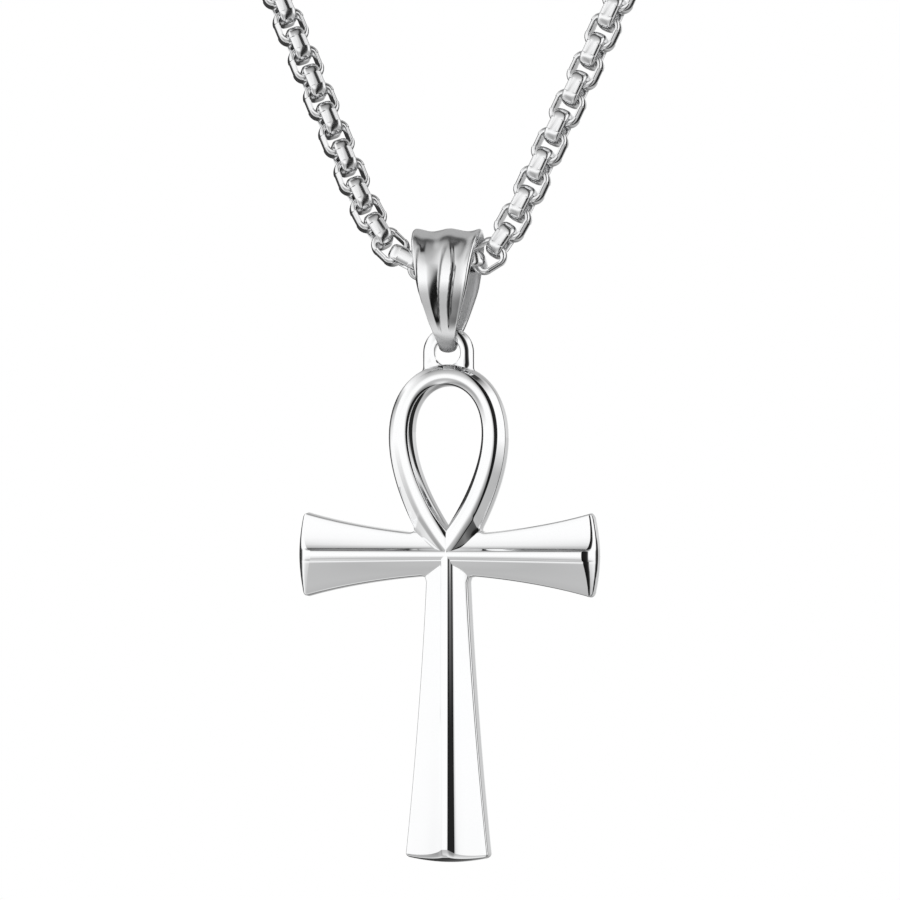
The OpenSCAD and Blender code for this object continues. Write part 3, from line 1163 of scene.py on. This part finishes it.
class Section:
    """One side of a limb's section: its height above the front edges, out from the crest."""

    LEAST_RUN = 1e-4
    LAST_SHARE = 0.96
    TINY = 1e-9

    def __init__(self, flank: Flank, share: float, half: float, crest: float, edge_r: float,
                 extra: float = 0.0) -> None:
        """Works out the section.

        Args:
            flank: The slopes.
            share: The share of the way from the flank's first table to its second.
            half: The distance from the crest to the edge.
            crest: The crest's height.
            edge_r: The radius of the rounded edge.
            extra: What a fillet adds beyond the edge.
        """
        rows = [[mix(a[0] + half * (a[0] < 0), b[0] + half * (b[0] < 0), share),
                 mix(a[1], b[1], share)] for a, b in zip(flank.root, flank.end)]
        self.places = [0.0]
        for at, _ in rows[1:-1]:
            self.places.append(max(self.places[-1] + self.LEAST_RUN, min(at, half * self.LAST_SHARE)))
        self.places.append(half)
        self.slopes = [row[1] for row in rows]
        self.half, self.reach, self.edge_r = half, half + extra, edge_r
        self.drops = [0.0]
        for i in range(1, len(rows)):
            run = self.places[i] - self.places[i - 1]
            self.drops.append(self.drops[-1] + run * (self.slopes[i - 1] + self.slopes[i]) / 2)
        self.scale = crest / self.drops[-1]

    def rise(self, at: float) -> float:
        """Works out the height at a distance from the crest.

        Args:
            at: The distance from the crest.

        Returns:
            The height above the front edges.
        """
        at = min(at, self.reach)
        over = max(0.0, at - self.reach + self.edge_r)
        round_off = self.edge_r - math.sqrt(max(0.0, self.edge_r ** 2 - over ** 2))
        if at > self.half:
            return -round_off
        last = len(self.places) - 1
        i = next(k for k in range(1, last + 1) if at <= self.places[k] or k == last)
        low, run = self.places[i - 1], max(self.TINY, self.places[i] - self.places[i - 1])
        t = (at - low) / run
        slope, grow = self.slopes[i - 1], self.slopes[i] - self.slopes[i - 1]
        drop = self.drops[i - 1] + run * (slope * t + grow * t * t / 2)
        return (self.drops[-1] - drop) * self.scale - round_off

    def columns(self, steps: int, edge_steps: int) -> list[float]:
        """Spaces points out from the crest.

        Args:
            steps: The steps to each of the flank's rows.
            edge_steps: The steps round the edge.

        Returns:
            Their distances from the crest, up to the edge.
        """
        last = self.reach - self.edge_r
        found = [0.0]
        for low, high in zip(self.places, self.places[1:]):
            low, high = min(low, last), min(high, last)
            found += [mix(low, high, k / steps) for k in range(1, steps + 1)]
        found.append(last)
        return found + [last + self.edge_r * math.sin(math.pi / 2 * k / edge_steps)
                        for k in range(1, edge_steps + 1)]


@dataclass(frozen=True)
class Limb:
    """A flaring limb with a crest along its front, which runs out from the crossing."""

    root_w: float
    end_w: float
    length: float
    flare: float
    crest: float
    plus: Flank
    minus: Flank

    def half(self, at: float) -> float:
        """Returns half the width at a distance from the crossing."""
        return mix(self.root_w, self.end_w, (max(0.0, at) / self.length) ** self.flare) / 2


STEM_RIGHT = Flank(
    ((0, 0), (0.08, 0.02), (0.2, 0.42), (0.3, 0.64), (0.44, 0.64), (0.56, 0.36), (0.7, 0.14),
     (1.2, 0.13), (1.85, 0.3)),
    ((0, 0), (0.08, 0.04), (0.18, 0.42), (0.34, 0.6), (0.66, 0.6), (0.82, 0.4), (0.96, 0.3),
     (1.8, 0.15), (3.8, 0.02)),
)
STEM_LEFT = Flank(
    ((0, 0), (0.3, 0.04), (0.4, 0.5), (0.45, 1.5), (0.5, 1.5), (0.55, 0.5), (0.64, 0.18),
     (1.2, 0.15), (1.85, 0.14)),
    ((0, 0), (0.26, 0.05), (0.4, 0.5), (0.46, 0.62), (0.6, 0.56), (0.74, 0.44), (0.96, 0.34),
     (1.8, 0.17), (3.8, 0.02)),
)
ARM_UP = Flank(
    ((0, 0), (0.12, 0.04), (0.28, 0.36), (0.4, 1.2), (0.56, 1.2), (0.66, 0.5), (0.85, 0.2),
     (1.2, 0.1), (1.8, 0.08)),
    ((0, 0), (0.12, 0.03), (0.3, 0.15), (0.4, 1.45), (0.5, 1.45), (0.62, 0.5), (0.9, 0.28),
     (1.6, 0.08), (3.75, 0.0)),
)
ARM_DOWN = Flank(
    ((0, 0), (0.1, 0.03), (0.28, 0.2), (0.37, 0.75), (0.41, 0.75), (0.44, 0.02), (0.54, 0.06),
     (0.62, 0.36), (1.8, 0.16)),
    ((0, 0), (0.1, 0.02), (0.38, 0.12), (0.52, 0.6), (0.57, 0.6), (0.61, 0.02), (0.72, 0.08),
     (0.84, 0.2), (3.75, 0.17)),
)
LEG_OUT = Flank(
    ((0, 0), (0.08, 0.04), (0.17, 0.4), (0.42, 0.6), (0.48, 1.05), (0.62, 1.05), (0.68, 0.3),
     (0.8, 0.12), (1.7, 0.1)),
    ((0, 0), (0.13, 0.06), (0.32, 0.36), (0.66, 0.63), (0.73, 1.08), (-0.06, 1.12), (-0.04, 0.3),
     (-0.02, 0.12), (1.28, 0.1)),
)
LEG_IN = Flank(
    ((0, 0), (0.25, 0.02), (-0.62, 0.05), (-0.55, 0.38), (-0.34, 0.64), (-0.2, 1.0), (-0.12, 3.0),
     (0.9, 3.2)),
    ((0, 0), (0.06, 0.03), (0.13, 0.1), (0.25, 0.36), (0.42, 0.66), (0.6, 0.95), (0.66, 3.4),
     (0.79, 3.6)),
)


@dataclass
class LegRow:
    """A row across the loop, from its hole's edge to its outer edge, at an angle."""

    ankh: "Ankh"
    angle: float
    widen: float = 0.0

    def __post_init__(self) -> None:
        """Works out the row's ends, its crest and its two sections."""
        ankh, angle = self.ankh, self.angle
        edge = ankh.outer(angle)
        self.far = edge + Vector((self.widen, 0))
        self.near = ankh.inner(angle)
        self.share = ankh.leg_crest(angle)
        self.top = edge.lerp(self.near, self.share)
        step = 0.01
        beside = max(angle, 2 * step)
        along = (ankh.crest_place(beside + step) - ankh.crest_place(beside - step)).normalized()
        row = (self.near - edge).normalized()
        lean = max(ankh.least_lean, abs(row.x * along.y - row.y * along.x))
        blend = ease(angle / math.radians(ankh.leg_blend_deg))
        crest = mix(ankh.crest, ankh.loop_crest, ease(angle / math.radians(ankh.leg_deg)))
        self.follow = zone(angle / ankh.high_angle, ankh.follow_zone)
        half = mix(ankh.high_half, (edge - self.top).length * lean, self.follow)
        extra = (self.far - self.top).length * lean - half
        self.out = Section(LEG_OUT, blend, half, crest, ankh.edge_r, max(0.0, extra))
        self.into = Section(LEG_IN, blend, (self.near - self.top).length * lean, crest, ankh.edge_r)

    def place(self, s: float) -> Vector:
        """Returns the place at a share of the way from the outer edge to the hole."""
        if s < self.share:
            return self.far.lerp(self.top, s / self.share)
        return self.top.lerp(self.near, (s - self.share) / (1 - self.share))

    def rise(self, s: float) -> float:
        """Works out the height along the row.

        Args:
            s: The share of the way from the outer edge to the hole.

        Returns:
            The height above the front edges, with the neck over the crossing.
        """
        if s < self.share:
            away = (1 - s / self.share) * self.out.reach
            if self.follow < 1:
                away = mix(self.ankh.off_crest(self.place(s)), away, self.follow)
            own = self.out.rise(away)
        else:
            own = self.into.rise((s - self.share) / (1 - self.share) * self.into.reach)
        place = self.place(s)
        return max(own, self.ankh.neck_rise(place.x, place.y))

    def shares(self, steps: int, edge_steps: int) -> list[float]:
        """Spaces points along the row.

        Args:
            steps: The steps to each of a flank's rows.
            edge_steps: The steps round each edge.

        Returns:
            Their shares of the way, from the hole to the outer edge.
        """
        into = [mix(self.share, 1.0, d / self.into.reach)
                for d in self.into.columns(steps, edge_steps)]
        return into[:0:-1] + [self.share * (1 - d / self.out.reach)
                              for d in self.out.columns(steps, edge_steps)]


@dataclass
class Ankh:
    """The cast ankh: flaring arms and stem with ribs, the teardrop loop and the eye."""

    cross_z: float = -26.32871
    eye_z: float = -7.92871
    back: float = 1.0
    wall: float = 1.6
    draft: float = 0.1
    edge_r: float = 0.17
    crest: float = 0.5
    rim: float = 0.4
    rim_drop: float = 0.42
    bevel: float = 1.15
    corner_r: float = 0.55
    fillet: float = 0.5
    loop_w: float = 10.8
    hole_w: float = 6.4
    loop_top_w: float = 1.9
    hole_foot: float = 2.5
    loop_h: float = 17.3
    loop_crest: float = 0.75
    eye_bore: float = 2.4
    eye_wire: float = 1.15
    eye_flare: float = 0.85
    eye_rings: int = 120
    eye_foot: float = 1.3
    eye_turn: float = 0.6
    flare_h: float = 0.95
    flare_gap: float = 0.2
    neck: float = 0.5
    neck_slim: float = 2.2
    fillet_fall: float = 2.2
    corner_shift: tuple[float, float] = (0.6, 0.38)
    # Angles of the loop between which the corner lies, its edge's crossing and its own height
    crossing_search: tuple[float, float] = (0.5, 1.4)
    corner_search: tuple[float, float] = (0.5, 1.6)
    # From the corner down the flanks go by the distance from the crest, as shares of its angle
    follow_zone: tuple[float, float] = (0.8, 1.1)
    crest_reach: float = 1.6
    crest_steps: int = 60
    least_lean: float = 0.3
    mitre_top: float = 0.9
    mitre_bunch: float = 1.4
    # How late the bevel falls to the end's edge, how much so, and how near to an end its line
    # shows in the front's rows
    bevel_round: float = 0.6
    bevel_fall: float = 3.5
    bevel_near: float = 4.0
    # Heights of the side wall's rows, as shares, and the steps round its back edge
    wall_levels: tuple[float, ...] = (0.0, 0.35, 0.7, 1.0)
    round_steps: int = 4
    # The middle of a rounded corner lies this share of its radius inside the sharp one
    corner_dip: float = 0.293
    # What the teardrop's formula comes to where it is widest
    drop_peak: float = 0.77
    # The loop's crest, as a share of the way to the hole, at its foot and from leg_deg on
    leg_crests: tuple[float, float] = (0.62, 0.585)
    leg_deg: float = 60.0
    leg_blend_deg: float = 70.0
    bow: float = 0.35
    crease_deg: float = 20.0
    steps: int = 4
    edge_steps: int = 5
    end_steps: int = 8
    mitre_steps: int = 20
    arm_steps: int = 40
    stem_steps: int = 60
    leg_steps: int = 80
    # The eye's section. Columns: share of the way from the bore outwards, depth
    eye_section: tuple[tuple[float, float], ...] = (
        (0.0, -0.28), (0.02, -0.35), (0.06, -0.4), (0.14, -0.42), (0.3, -0.42), (0.35, -0.405),
        (0.45, -0.36), (0.55, -0.305), (0.7, -0.2), (0.84, -0.06), (0.94, 0.08), (0.985, 0.2),
        (1.0, 0.34), (1.0, 0.6), (0.97, 0.71), (0.9, 0.77), (0.8, 0.78), (0.2, 0.78),
        (0.1, 0.77), (0.03, 0.71), (0.0, 0.6), (0.0, 0.2),
    )
    stem: Limb = Limb(root_w=3.7, end_w=7.6, length=27.9, flare=1.35, crest=0.68,
                      plus=STEM_RIGHT, minus=STEM_LEFT)
    arm: Limb = Limb(root_w=3.6, end_w=7.5, length=13.8, flare=1.6, crest=0.78,
                     plus=ARM_UP, minus=ARM_DOWN)

    @property
    def front(self) -> float:
        """Returns the depth of the front edges."""
        return self.back - self.wall

    def spot(self, x: float, z: float, rise: float) -> Vector:
        """Returns a point of the front, which stands out by rise from the front edges."""
        return Vector((x, self.front - rise, z))

    def section(self, limb: Limb, at: float, up: bool, widen: float) -> Section:
        """Works out one side of a limb's section.

        Args:
            limb: The limb.
            at: The distance from the crossing.
            up: True for its plus side.
            widen: What a fillet adds to the half width there.

        Returns:
            The section.
        """
        share = max(0.0, min(1.0, at / limb.length))
        return Section(limb.plus if up else limb.minus, share, limb.half(at),
                       mix(self.crest, limb.crest, share), self.edge_r, widen)

    def fill(self, at: float, corner: float, depth: float) -> float:
        """Returns what a fillet adds to an outline: all of it up to the corner, none after it."""
        t = max(0.0, min(1.0, (at - corner) / self.fillet))
        return depth * (1 - t) ** self.fillet_fall

    def drop(self, full: float, low: float, high: float, angle: float) -> Vector:
        """Returns a teardrop's outline at an angle from its lower point: (across, height)."""
        across = full / 2 / self.drop_peak * math.sin(angle) * math.sin(angle / 2)
        return Vector((across, (low + high) / 2 - (high - low) / 2 * math.cos(angle)))

    def outer(self, angle: float) -> Vector:
        """Returns the loop's outer outline."""
        return self.drop(self.loop_w, -self.hole_foot, self.loop_h, angle)

    def inner(self, angle: float) -> Vector:
        """Returns the hole's outline."""
        return self.drop(self.hole_w, self.hole_foot, self.loop_h - self.loop_top_w, angle)

    def leg_crest(self, angle: float) -> float:
        """Returns the crest's share of the way from the loop's outer edge to its hole."""
        return mix(*self.leg_crests, ease(angle / math.radians(self.leg_deg)))

    def crest_place(self, angle: float) -> Vector:
        """Returns the place of the loop's crest at an angle."""
        return self.outer(angle).lerp(self.inner(angle), self.leg_crest(angle))

    def neck_rise(self, x: float, z: float) -> float:
        """Returns the height of the stem's crest where it runs on up, over the crossing."""
        neck = Section(self.stem.plus, 0.0, self.stem.half(0), self.crest, self.edge_r)
        return neck.rise(self.neck_slim * math.hypot(x, max(0.0, z - self.neck)))

    @staticmethod
    def meet(gap: Callable[[float], float], low: float, high: float) -> float:
        """Finds where a falling gap closes.

        Args:
            gap: The gap at a place.
            low: A place where it is open.
            high: A place where it is closed.

        Returns:
            The place between them where it closes.
        """
        for _ in range(HALVINGS):
            middle = (low + high) / 2
            if gap(middle) > 0:
                low = middle
            else:
                high = middle
        return (low + high) / 2

    def find_corners(self) -> None:
        """Finds the inner corners' points, with the fillets that round them."""
        self.dip = self.fillet * self.corner_dip
        x = self.stem.half(0)
        for _ in range(8):
            x = self.stem.half(self.arm.half(x))
        self.low_corner = Vector((x + self.dip, self.arm.half(x) + self.dip))
        angle = self.meet(
            lambda a: self.arm.half(self.outer(a).x) - self.outer(a).y, *self.crossing_search)
        self.high_corner = self.outer(angle) + Vector(self.corner_shift) * self.fillet
        self.high_angle = self.meet(
            lambda a: self.high_corner.y - self.outer(a).y, *self.corner_search)
        self.high_dips = (self.high_corner.y - self.arm.half(self.high_corner.x),
                          self.high_corner.x - self.outer(self.high_angle).x)
        turn = self.crest_reach * self.high_angle / self.crest_steps
        self.crest_line = [self.crest_place(turn * k) for k in range(self.crest_steps + 1)]
        self.high_half = self.off_crest(self.outer(self.high_angle))

    def off_crest(self, place: Vector) -> float:
        """Measures how far a place lies from the crest of the loop's foot.

        Args:
            place: The place, as (across, height).

        Returns:
            Its distance from the crest.
        """
        found = []
        for a, b in zip(self.crest_line, self.crest_line[1:]):
            t = max(0.0, min(1.0, (place - a).dot(b - a) / (b - a).length_squared))
            found.append((place - a.lerp(b, t)).length)
        return min(found)

    def arm_side(self, at: float, up: bool) -> Section:
        """Returns the arm's upper or lower section at a distance from the crossing."""
        corner, dip = ((self.high_corner.x, self.high_dips[0]) if up
                       else (self.low_corner.x, self.dip))
        return self.section(self.arm, at, up, self.fill(at, corner, dip))

    def stem_side(self, at: float, right: bool) -> Section:
        """Returns the stem's right or left section at a distance from the crossing."""
        return self.section(self.stem, at, right, self.fill(at, self.low_corner.y, self.dip))

    def sides(self, limb: Limb, at: float) -> tuple[Section, Section]:
        """Returns a limb's plus and minus sections at a distance from the crossing."""
        side = self.arm_side if limb is self.arm else self.stem_side
        return side(at, True), side(at, False)

    def leg_row(self, angle: float) -> LegRow:
        """Returns the loop's row at an angle."""
        widen = self.fill(self.outer(angle).y, self.high_corner.y, self.high_dips[1])
        widen *= min(1.0, angle / self.high_angle) ** 2
        return LegRow(self, angle, widen)

    def low_mitre(self, at: float, right: bool, along_arm: bool) -> tuple[float, float, float]:
        """Finds a point of the mitre between the stem and an arm.

        Args:
            at: The distance from the crossing along the arm, or along the stem.
            right: True for the right arm.
            along_arm: True where at is along the arm.

        Returns:
            The distances along the arm and the stem, and the height.
        """
        if along_arm:
            stop = self.low_corner.y
            arm = self.arm_side(at, False)
            down = self.meet(
                lambda t: arm.rise(t) - self.stem_side(t, right).rise(at), 0.0, stop)
            return at, down, arm.rise(down)
        stem = self.stem_side(at, right)
        across = self.meet(
            lambda x: stem.rise(x) - self.arm_side(x, False).rise(at), 0.0, self.low_corner.x)
        return across, at, stem.rise(across)

    def leg_mitre(self, row: LegRow) -> tuple[float, float]:
        """Finds where a row of the loop meets the arm.

        Args:
            row: The loop's row.

        Returns:
            The share of the row, and the height there.
        """
        def gap(t: float) -> float:
            """Returns how far the loop stands over the arm."""
            place = row.place(self.mitre_top - t)
            own = row.rise(self.mitre_top - t)
            return own - self.arm_side(place.x, True).rise(max(0.0, place.y))
        share = self.mitre_top - self.meet(gap, 0.0, self.mitre_top)
        return share, row.rise(share)

    def high_mitre(self, at: float) -> tuple[LegRow, float, float]:
        """Finds the loop's row that meets the arm at a distance.

        Args:
            at: The distance along the arm.

        Returns:
            The row, its share there, and the height there.
        """
        angle = self.meet(
            lambda a: at - (row := self.leg_row(a)).place(self.leg_mitre(row)[0]).x,
            0.0, self.high_angle)
        row = self.leg_row(angle)
        return (row, *self.leg_mitre(row))

    def rails(self, limb: Limb, at: float, plus: Section, minus: Section,
              stops: Sequence[tuple[float, float] | None]) -> list[tuple[float, float, float]]:
        """Works out a row across a limb.

        Args:
            limb: The limb.
            at: The row's distance from the crossing.
            plus: The section of the plus side.
            minus: The section of the minus side.
            stops: For each side the mitre's place across and its height, or None.

        Returns:
            The row's points as (across, along, height), from the plus side's edge.
        """
        halves = []
        for side, stop, sign in zip((plus, minus), stops, (1, -1)):
            row = []
            for d in side.columns(self.steps, self.edge_steps):
                height = side.rise(d)
                lost = self.lost(limb, d, side) * (at / limb.length) ** self.bevel_near
                if stop and d >= stop[0]:
                    d, height = stop
                row.append((sign * d, at - lost, height))
            halves.append(row)
        return halves[0][::-1] + halves[1][1:]

    def lost(self, limb: Limb, across: float, side: Section) -> float:
        """Returns how far short of a limb's end its front stops, for the bevel and the bow."""
        flat = across / side.reach
        return self.rim + self.bow * flat * flat + self.bevel * max(0.0, side.rise(across))

    def end_rows(self, limb: Limb, plus: Section, minus: Section) -> list[list[tuple]]:
        """Works out the rows of the bevel at a limb's end.

        Args:
            limb: The limb.
            plus: The section of the plus side.
            minus: The section of the minus side.

        Returns:
            The rows, each as rails gives it.
        """
        rows = []
        for k in range(1, self.end_steps + 1):
            t = math.sin(math.pi / 2 * k / self.end_steps)
            halves = []
            for side, sign in ((plus, 1), (minus, -1)):
                row = []
                for d in side.columns(self.steps, self.edge_steps):
                    flat, height = d / side.reach, side.rise(d)
                    start = limb.length - self.lost(limb, d, side)
                    stop = limb.length - self.bow * flat * flat
                    fall = mix(t, t ** self.bevel_fall, self.bevel_round)
                    shrink = flat * self.corner_r * bulge(t)
                    row.append((sign * (d - shrink), mix(start, stop, t),
                                height - (height + self.rim_drop) * fall))
                halves.append(row)
            rows.append(halves[0][::-1] + halves[1][1:])
        return rows

    def sheets(self) -> list[bpy.types.Object]:
        """Builds the front as sheets: the stem, the two arms and the two halves of the loop.

        Returns:
            The sheets, of which the stem's is the first.
        """
        self.find_corners()
        low_x, high_x = self.low_corner.x, self.high_corner.x
        near = [low_x * (k / self.mitre_steps) ** self.mitre_bunch
                for k in range(self.mitre_steps + 1)]
        between = [mix(low_x, high_x, k / self.end_steps) for k in range(1, self.end_steps + 1)]
        beyond = [mix(high_x, self.arm.length, k / self.arm_steps)
                  for k in range(1, self.arm_steps + 1)]
        right = [self.low_mitre(x, True, True) for x in near]
        left = [self.low_mitre(down, False, False) for _, down, _ in right]
        right[0] = left[0] = (0.0, 0.0, self.crest)
        right[-1] = left[-1] = (low_x, self.low_corner.y, right[-1][2])
        left[-1] = right[-1]
        made = [self.stem_sheet(right, left)]
        for sign, mitre in ((1, right), (-1, left)):
            starts = [x for x, _, _ in mitre] + between
            tops = [self.high_mitre(x) for x in starts]
            corner = self.leg_row(self.high_angle)
            tops[-1] = (corner, 0.0, corner.rise(0.0))
            made.append(self.arm_sheet(sign, mitre, starts, tops, beyond))
            made.append(self.leg_sheet(sign, starts, tops))
        return made

    def stem_sheet(self, right: Sequence[tuple], left: Sequence[tuple]) -> bpy.types.Object:
        """Builds the stem's front, between its mitres and down to its foot.

        Args:
            right: The points of its mitre with the right arm.
            left: The points of its mitre with the left arm.

        Returns:
            The sheet.
        """
        rows = []
        for (x, down, height), (x_left, _, height_left) in zip(right, left):
            rows.append(self.rails(self.stem, down, *self.sides(self.stem, down),
                                   ((x, height), (x_left, height_left))))
        for k in range(1, self.stem_steps + 1):
            at = mix(self.low_corner.y, self.stem.length, k / self.stem_steps)
            rows.append(self.rails(self.stem, at, *self.sides(self.stem, at), (None, None)))
        rows += self.end_rows(self.stem, *self.sides(self.stem, self.stem.length))
        return Bench.sheet("ankh_cast", [[self.spot(x, -z, h) for x, z, h in row] for row in rows])

    def arm_sheet(self, sign: int, mitre: Sequence[tuple], starts: Sequence[float],
                  tops: Sequence[tuple], beyond: Sequence[float]) -> bpy.types.Object:
        """Builds an arm's front.

        Args:
            sign: 1 for the right arm, -1 for the left one.
            mitre: The points of its mitre with the stem.
            starts: Its rows as far as the loop reaches.
            tops: For each of them the loop's row that it meets.
            beyond: Its rows further out.

        Returns:
            The sheet.
        """
        rows = []
        for k, (at, (row, share, height)) in enumerate(zip(starts, tops)):
            low = (mitre[k][1], mitre[k][2]) if k < len(mitre) else None
            rows.append(self.rails(self.arm, at, *self.sides(self.arm, at),
                                   ((row.place(share).y, height), low)))
        for at in beyond:
            rows.append(self.rails(self.arm, at, *self.sides(self.arm, at), (None, None)))
        rows += self.end_rows(self.arm, *self.sides(self.arm, self.arm.length))
        return Bench.sheet("arm", [[self.spot(sign * x, z, h) for z, x, h in row] for row in rows])

    def leg_sheet(self, sign: int, starts: Sequence[float], tops: Sequence[tuple]) -> bpy.types.Object:
        """Builds half of the loop's front.

        Args:
            sign: 1 for the right half, -1 for the left one.
            starts: The arm's rows as far as the loop reaches.
            tops: For each of them the loop's row that it meets.

        Returns:
            The sheet.
        """
        rows = [(row, share, x, height) for x, (row, share, height) in zip(starts, tops)]
        for k in range(1, self.leg_steps + 1):
            angle = mix(self.high_angle, math.pi, k / self.leg_steps)
            rows.append((self.leg_row(angle), -1.0, 0.0, 0.0))
        points = []
        for row, stop, x, height in rows:
            line = []
            for s in row.shares(self.steps, self.edge_steps):
                place = row.place(s)
                line.append(self.spot(sign * x, row.place(stop).y, height) if s <= stop
                            else self.spot(sign * place.x, place.y, row.rise(s)))
            points.append(line)
        return Bench.sheet("loop_half", points)

    def walls(self, front: bpy.types.Object) -> list[bpy.types.Object]:
        """Builds the side walls from the front's edges, with draft and a rounded back edge.

        Args:
            front: The front, as one sheet.

        Returns:
            A sheet for each of its edges.
        """
        made = []
        for loop in Bench.borders(front):
            area = sum(a.x * b.z - b.x * a.z for a, b in zip(loop, [*loop[1:], loop[0]])) / 2
            inside = abs(area) < self.hole_w * self.loop_h
            turn = (1 if area > 0 else -1) * (-1 if inside else 1)
            outs = []
            for a, b in zip([loop[-1], *loop[:-1]], [*loop[1:], loop[0]]):
                along = (b - a).normalized()
                outs.append(Vector((along.z, 0, -along.x)) * turn)
            levels = [(t, self.draft * t, 0.0) for t in self.wall_levels]
            for k in range(1, self.round_steps + 1):
                a = math.pi / 2 * k / self.round_steps
                levels.append((1.0, self.draft - self.edge_r * (1 - math.cos(a)), math.sin(a)))
            last = self.back - self.edge_r
            rows = []
            for t, out, turned in levels:
                rows.append([
                    Vector((p.x, mix(p.y, last, t) + self.edge_r * turned, p.z)) + side * out
                    for p, side in zip([*loop, loop[0]], [*outs, outs[0]])
                ])
            made.append(Bench.sheet("wall", rows))
        return made

    def eye_outline(self, share: float) -> Vector:
        """Follows the eye's outline from its right side's middle down to its foot's middle.

        Args:
            share: The share of the way.

        Returns:
            The place there, as (across, height).
        """
        radius = self.eye_bore / 2 + self.eye_wire
        top, foot = self.eye_z - self.cross_z, self.loop_h - self.eye_foot
        z = mix(top, foot, min(1.0, share / self.eye_turn))
        under = max(0.0, min(1.0, (self.loop_h - self.flare_gap - z) / self.flare_h))
        reach = radius + self.eye_flare * under ** self.fillet_fall
        return Vector((mix(reach, 0.0, max(0.0, share - self.eye_turn) / (1 - self.eye_turn)), z))

    def eye(self) -> bpy.types.Object:
        """Builds the eye: a ring on top, whose lower half runs down into the loop's top.

        Returns:
            The closed ring.
        """
        lift = self.eye_z - self.cross_z
        rings = []
        for step in range(self.eye_rings):
            a = 2 * math.pi * step / self.eye_rings
            way = Vector((math.cos(a), math.sin(a)))
            into = way * self.eye_bore / 2 + Vector((0, lift))
            out = way * (self.eye_bore / 2 + self.eye_wire) + Vector((0, lift))
            if way.y < 0:
                share = math.asin(-way.y) / (math.pi / 2)
                out = self.eye_outline(share)
                out.x = math.copysign(out.x, way.x)
            ring = []
            for outwards, depth in self.eye_section:
                place = into.lerp(out, outwards)
                ring.append(Vector((place.x, depth, place.y)))
            rings.append(ring)
        return Bench.form("eye_ring", rings, capped=False)

    def build(self, material: bpy.types.Material) -> bpy.types.Object:
        """Builds the ankh as one shell, with creases where its limbs meet.

        Args:
            material: Its finish.

        Returns:
            The ankh.
        """
        front = Bench.weld(self.sheets())
        cast = Bench.weld([front, *self.walls(front)])
        Bench.close(cast)
        Bench.fuse(cast, [self.eye()])
        Bench.crease(cast, self.crease_deg)
        Bench.seat(cast, HANG + Vector((0, 0, self.cross_z)))
        Bench.finish(cast, material, Slot.PENDANT, Body.ANKH)
        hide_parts("ankh")
        return cast


def main() -> None:
    """Builds the studio and the pieces in order."""
    logging.basicConfig(level=logging.INFO, format="%(name)s: %(message)s")
    Studio().build()
    marks = polish_marks_group()
    chain = BoxChain()
    chain.build(CHAIN_STEEL.build(marks))
    Clasp().build(chain, CLASP_STEEL.build(marks))
    Bail().build(BAIL_STEEL.build(marks))
    Ankh().build(PENDANT_STEEL.build(marks))


if __name__ == "__main__":
    main()
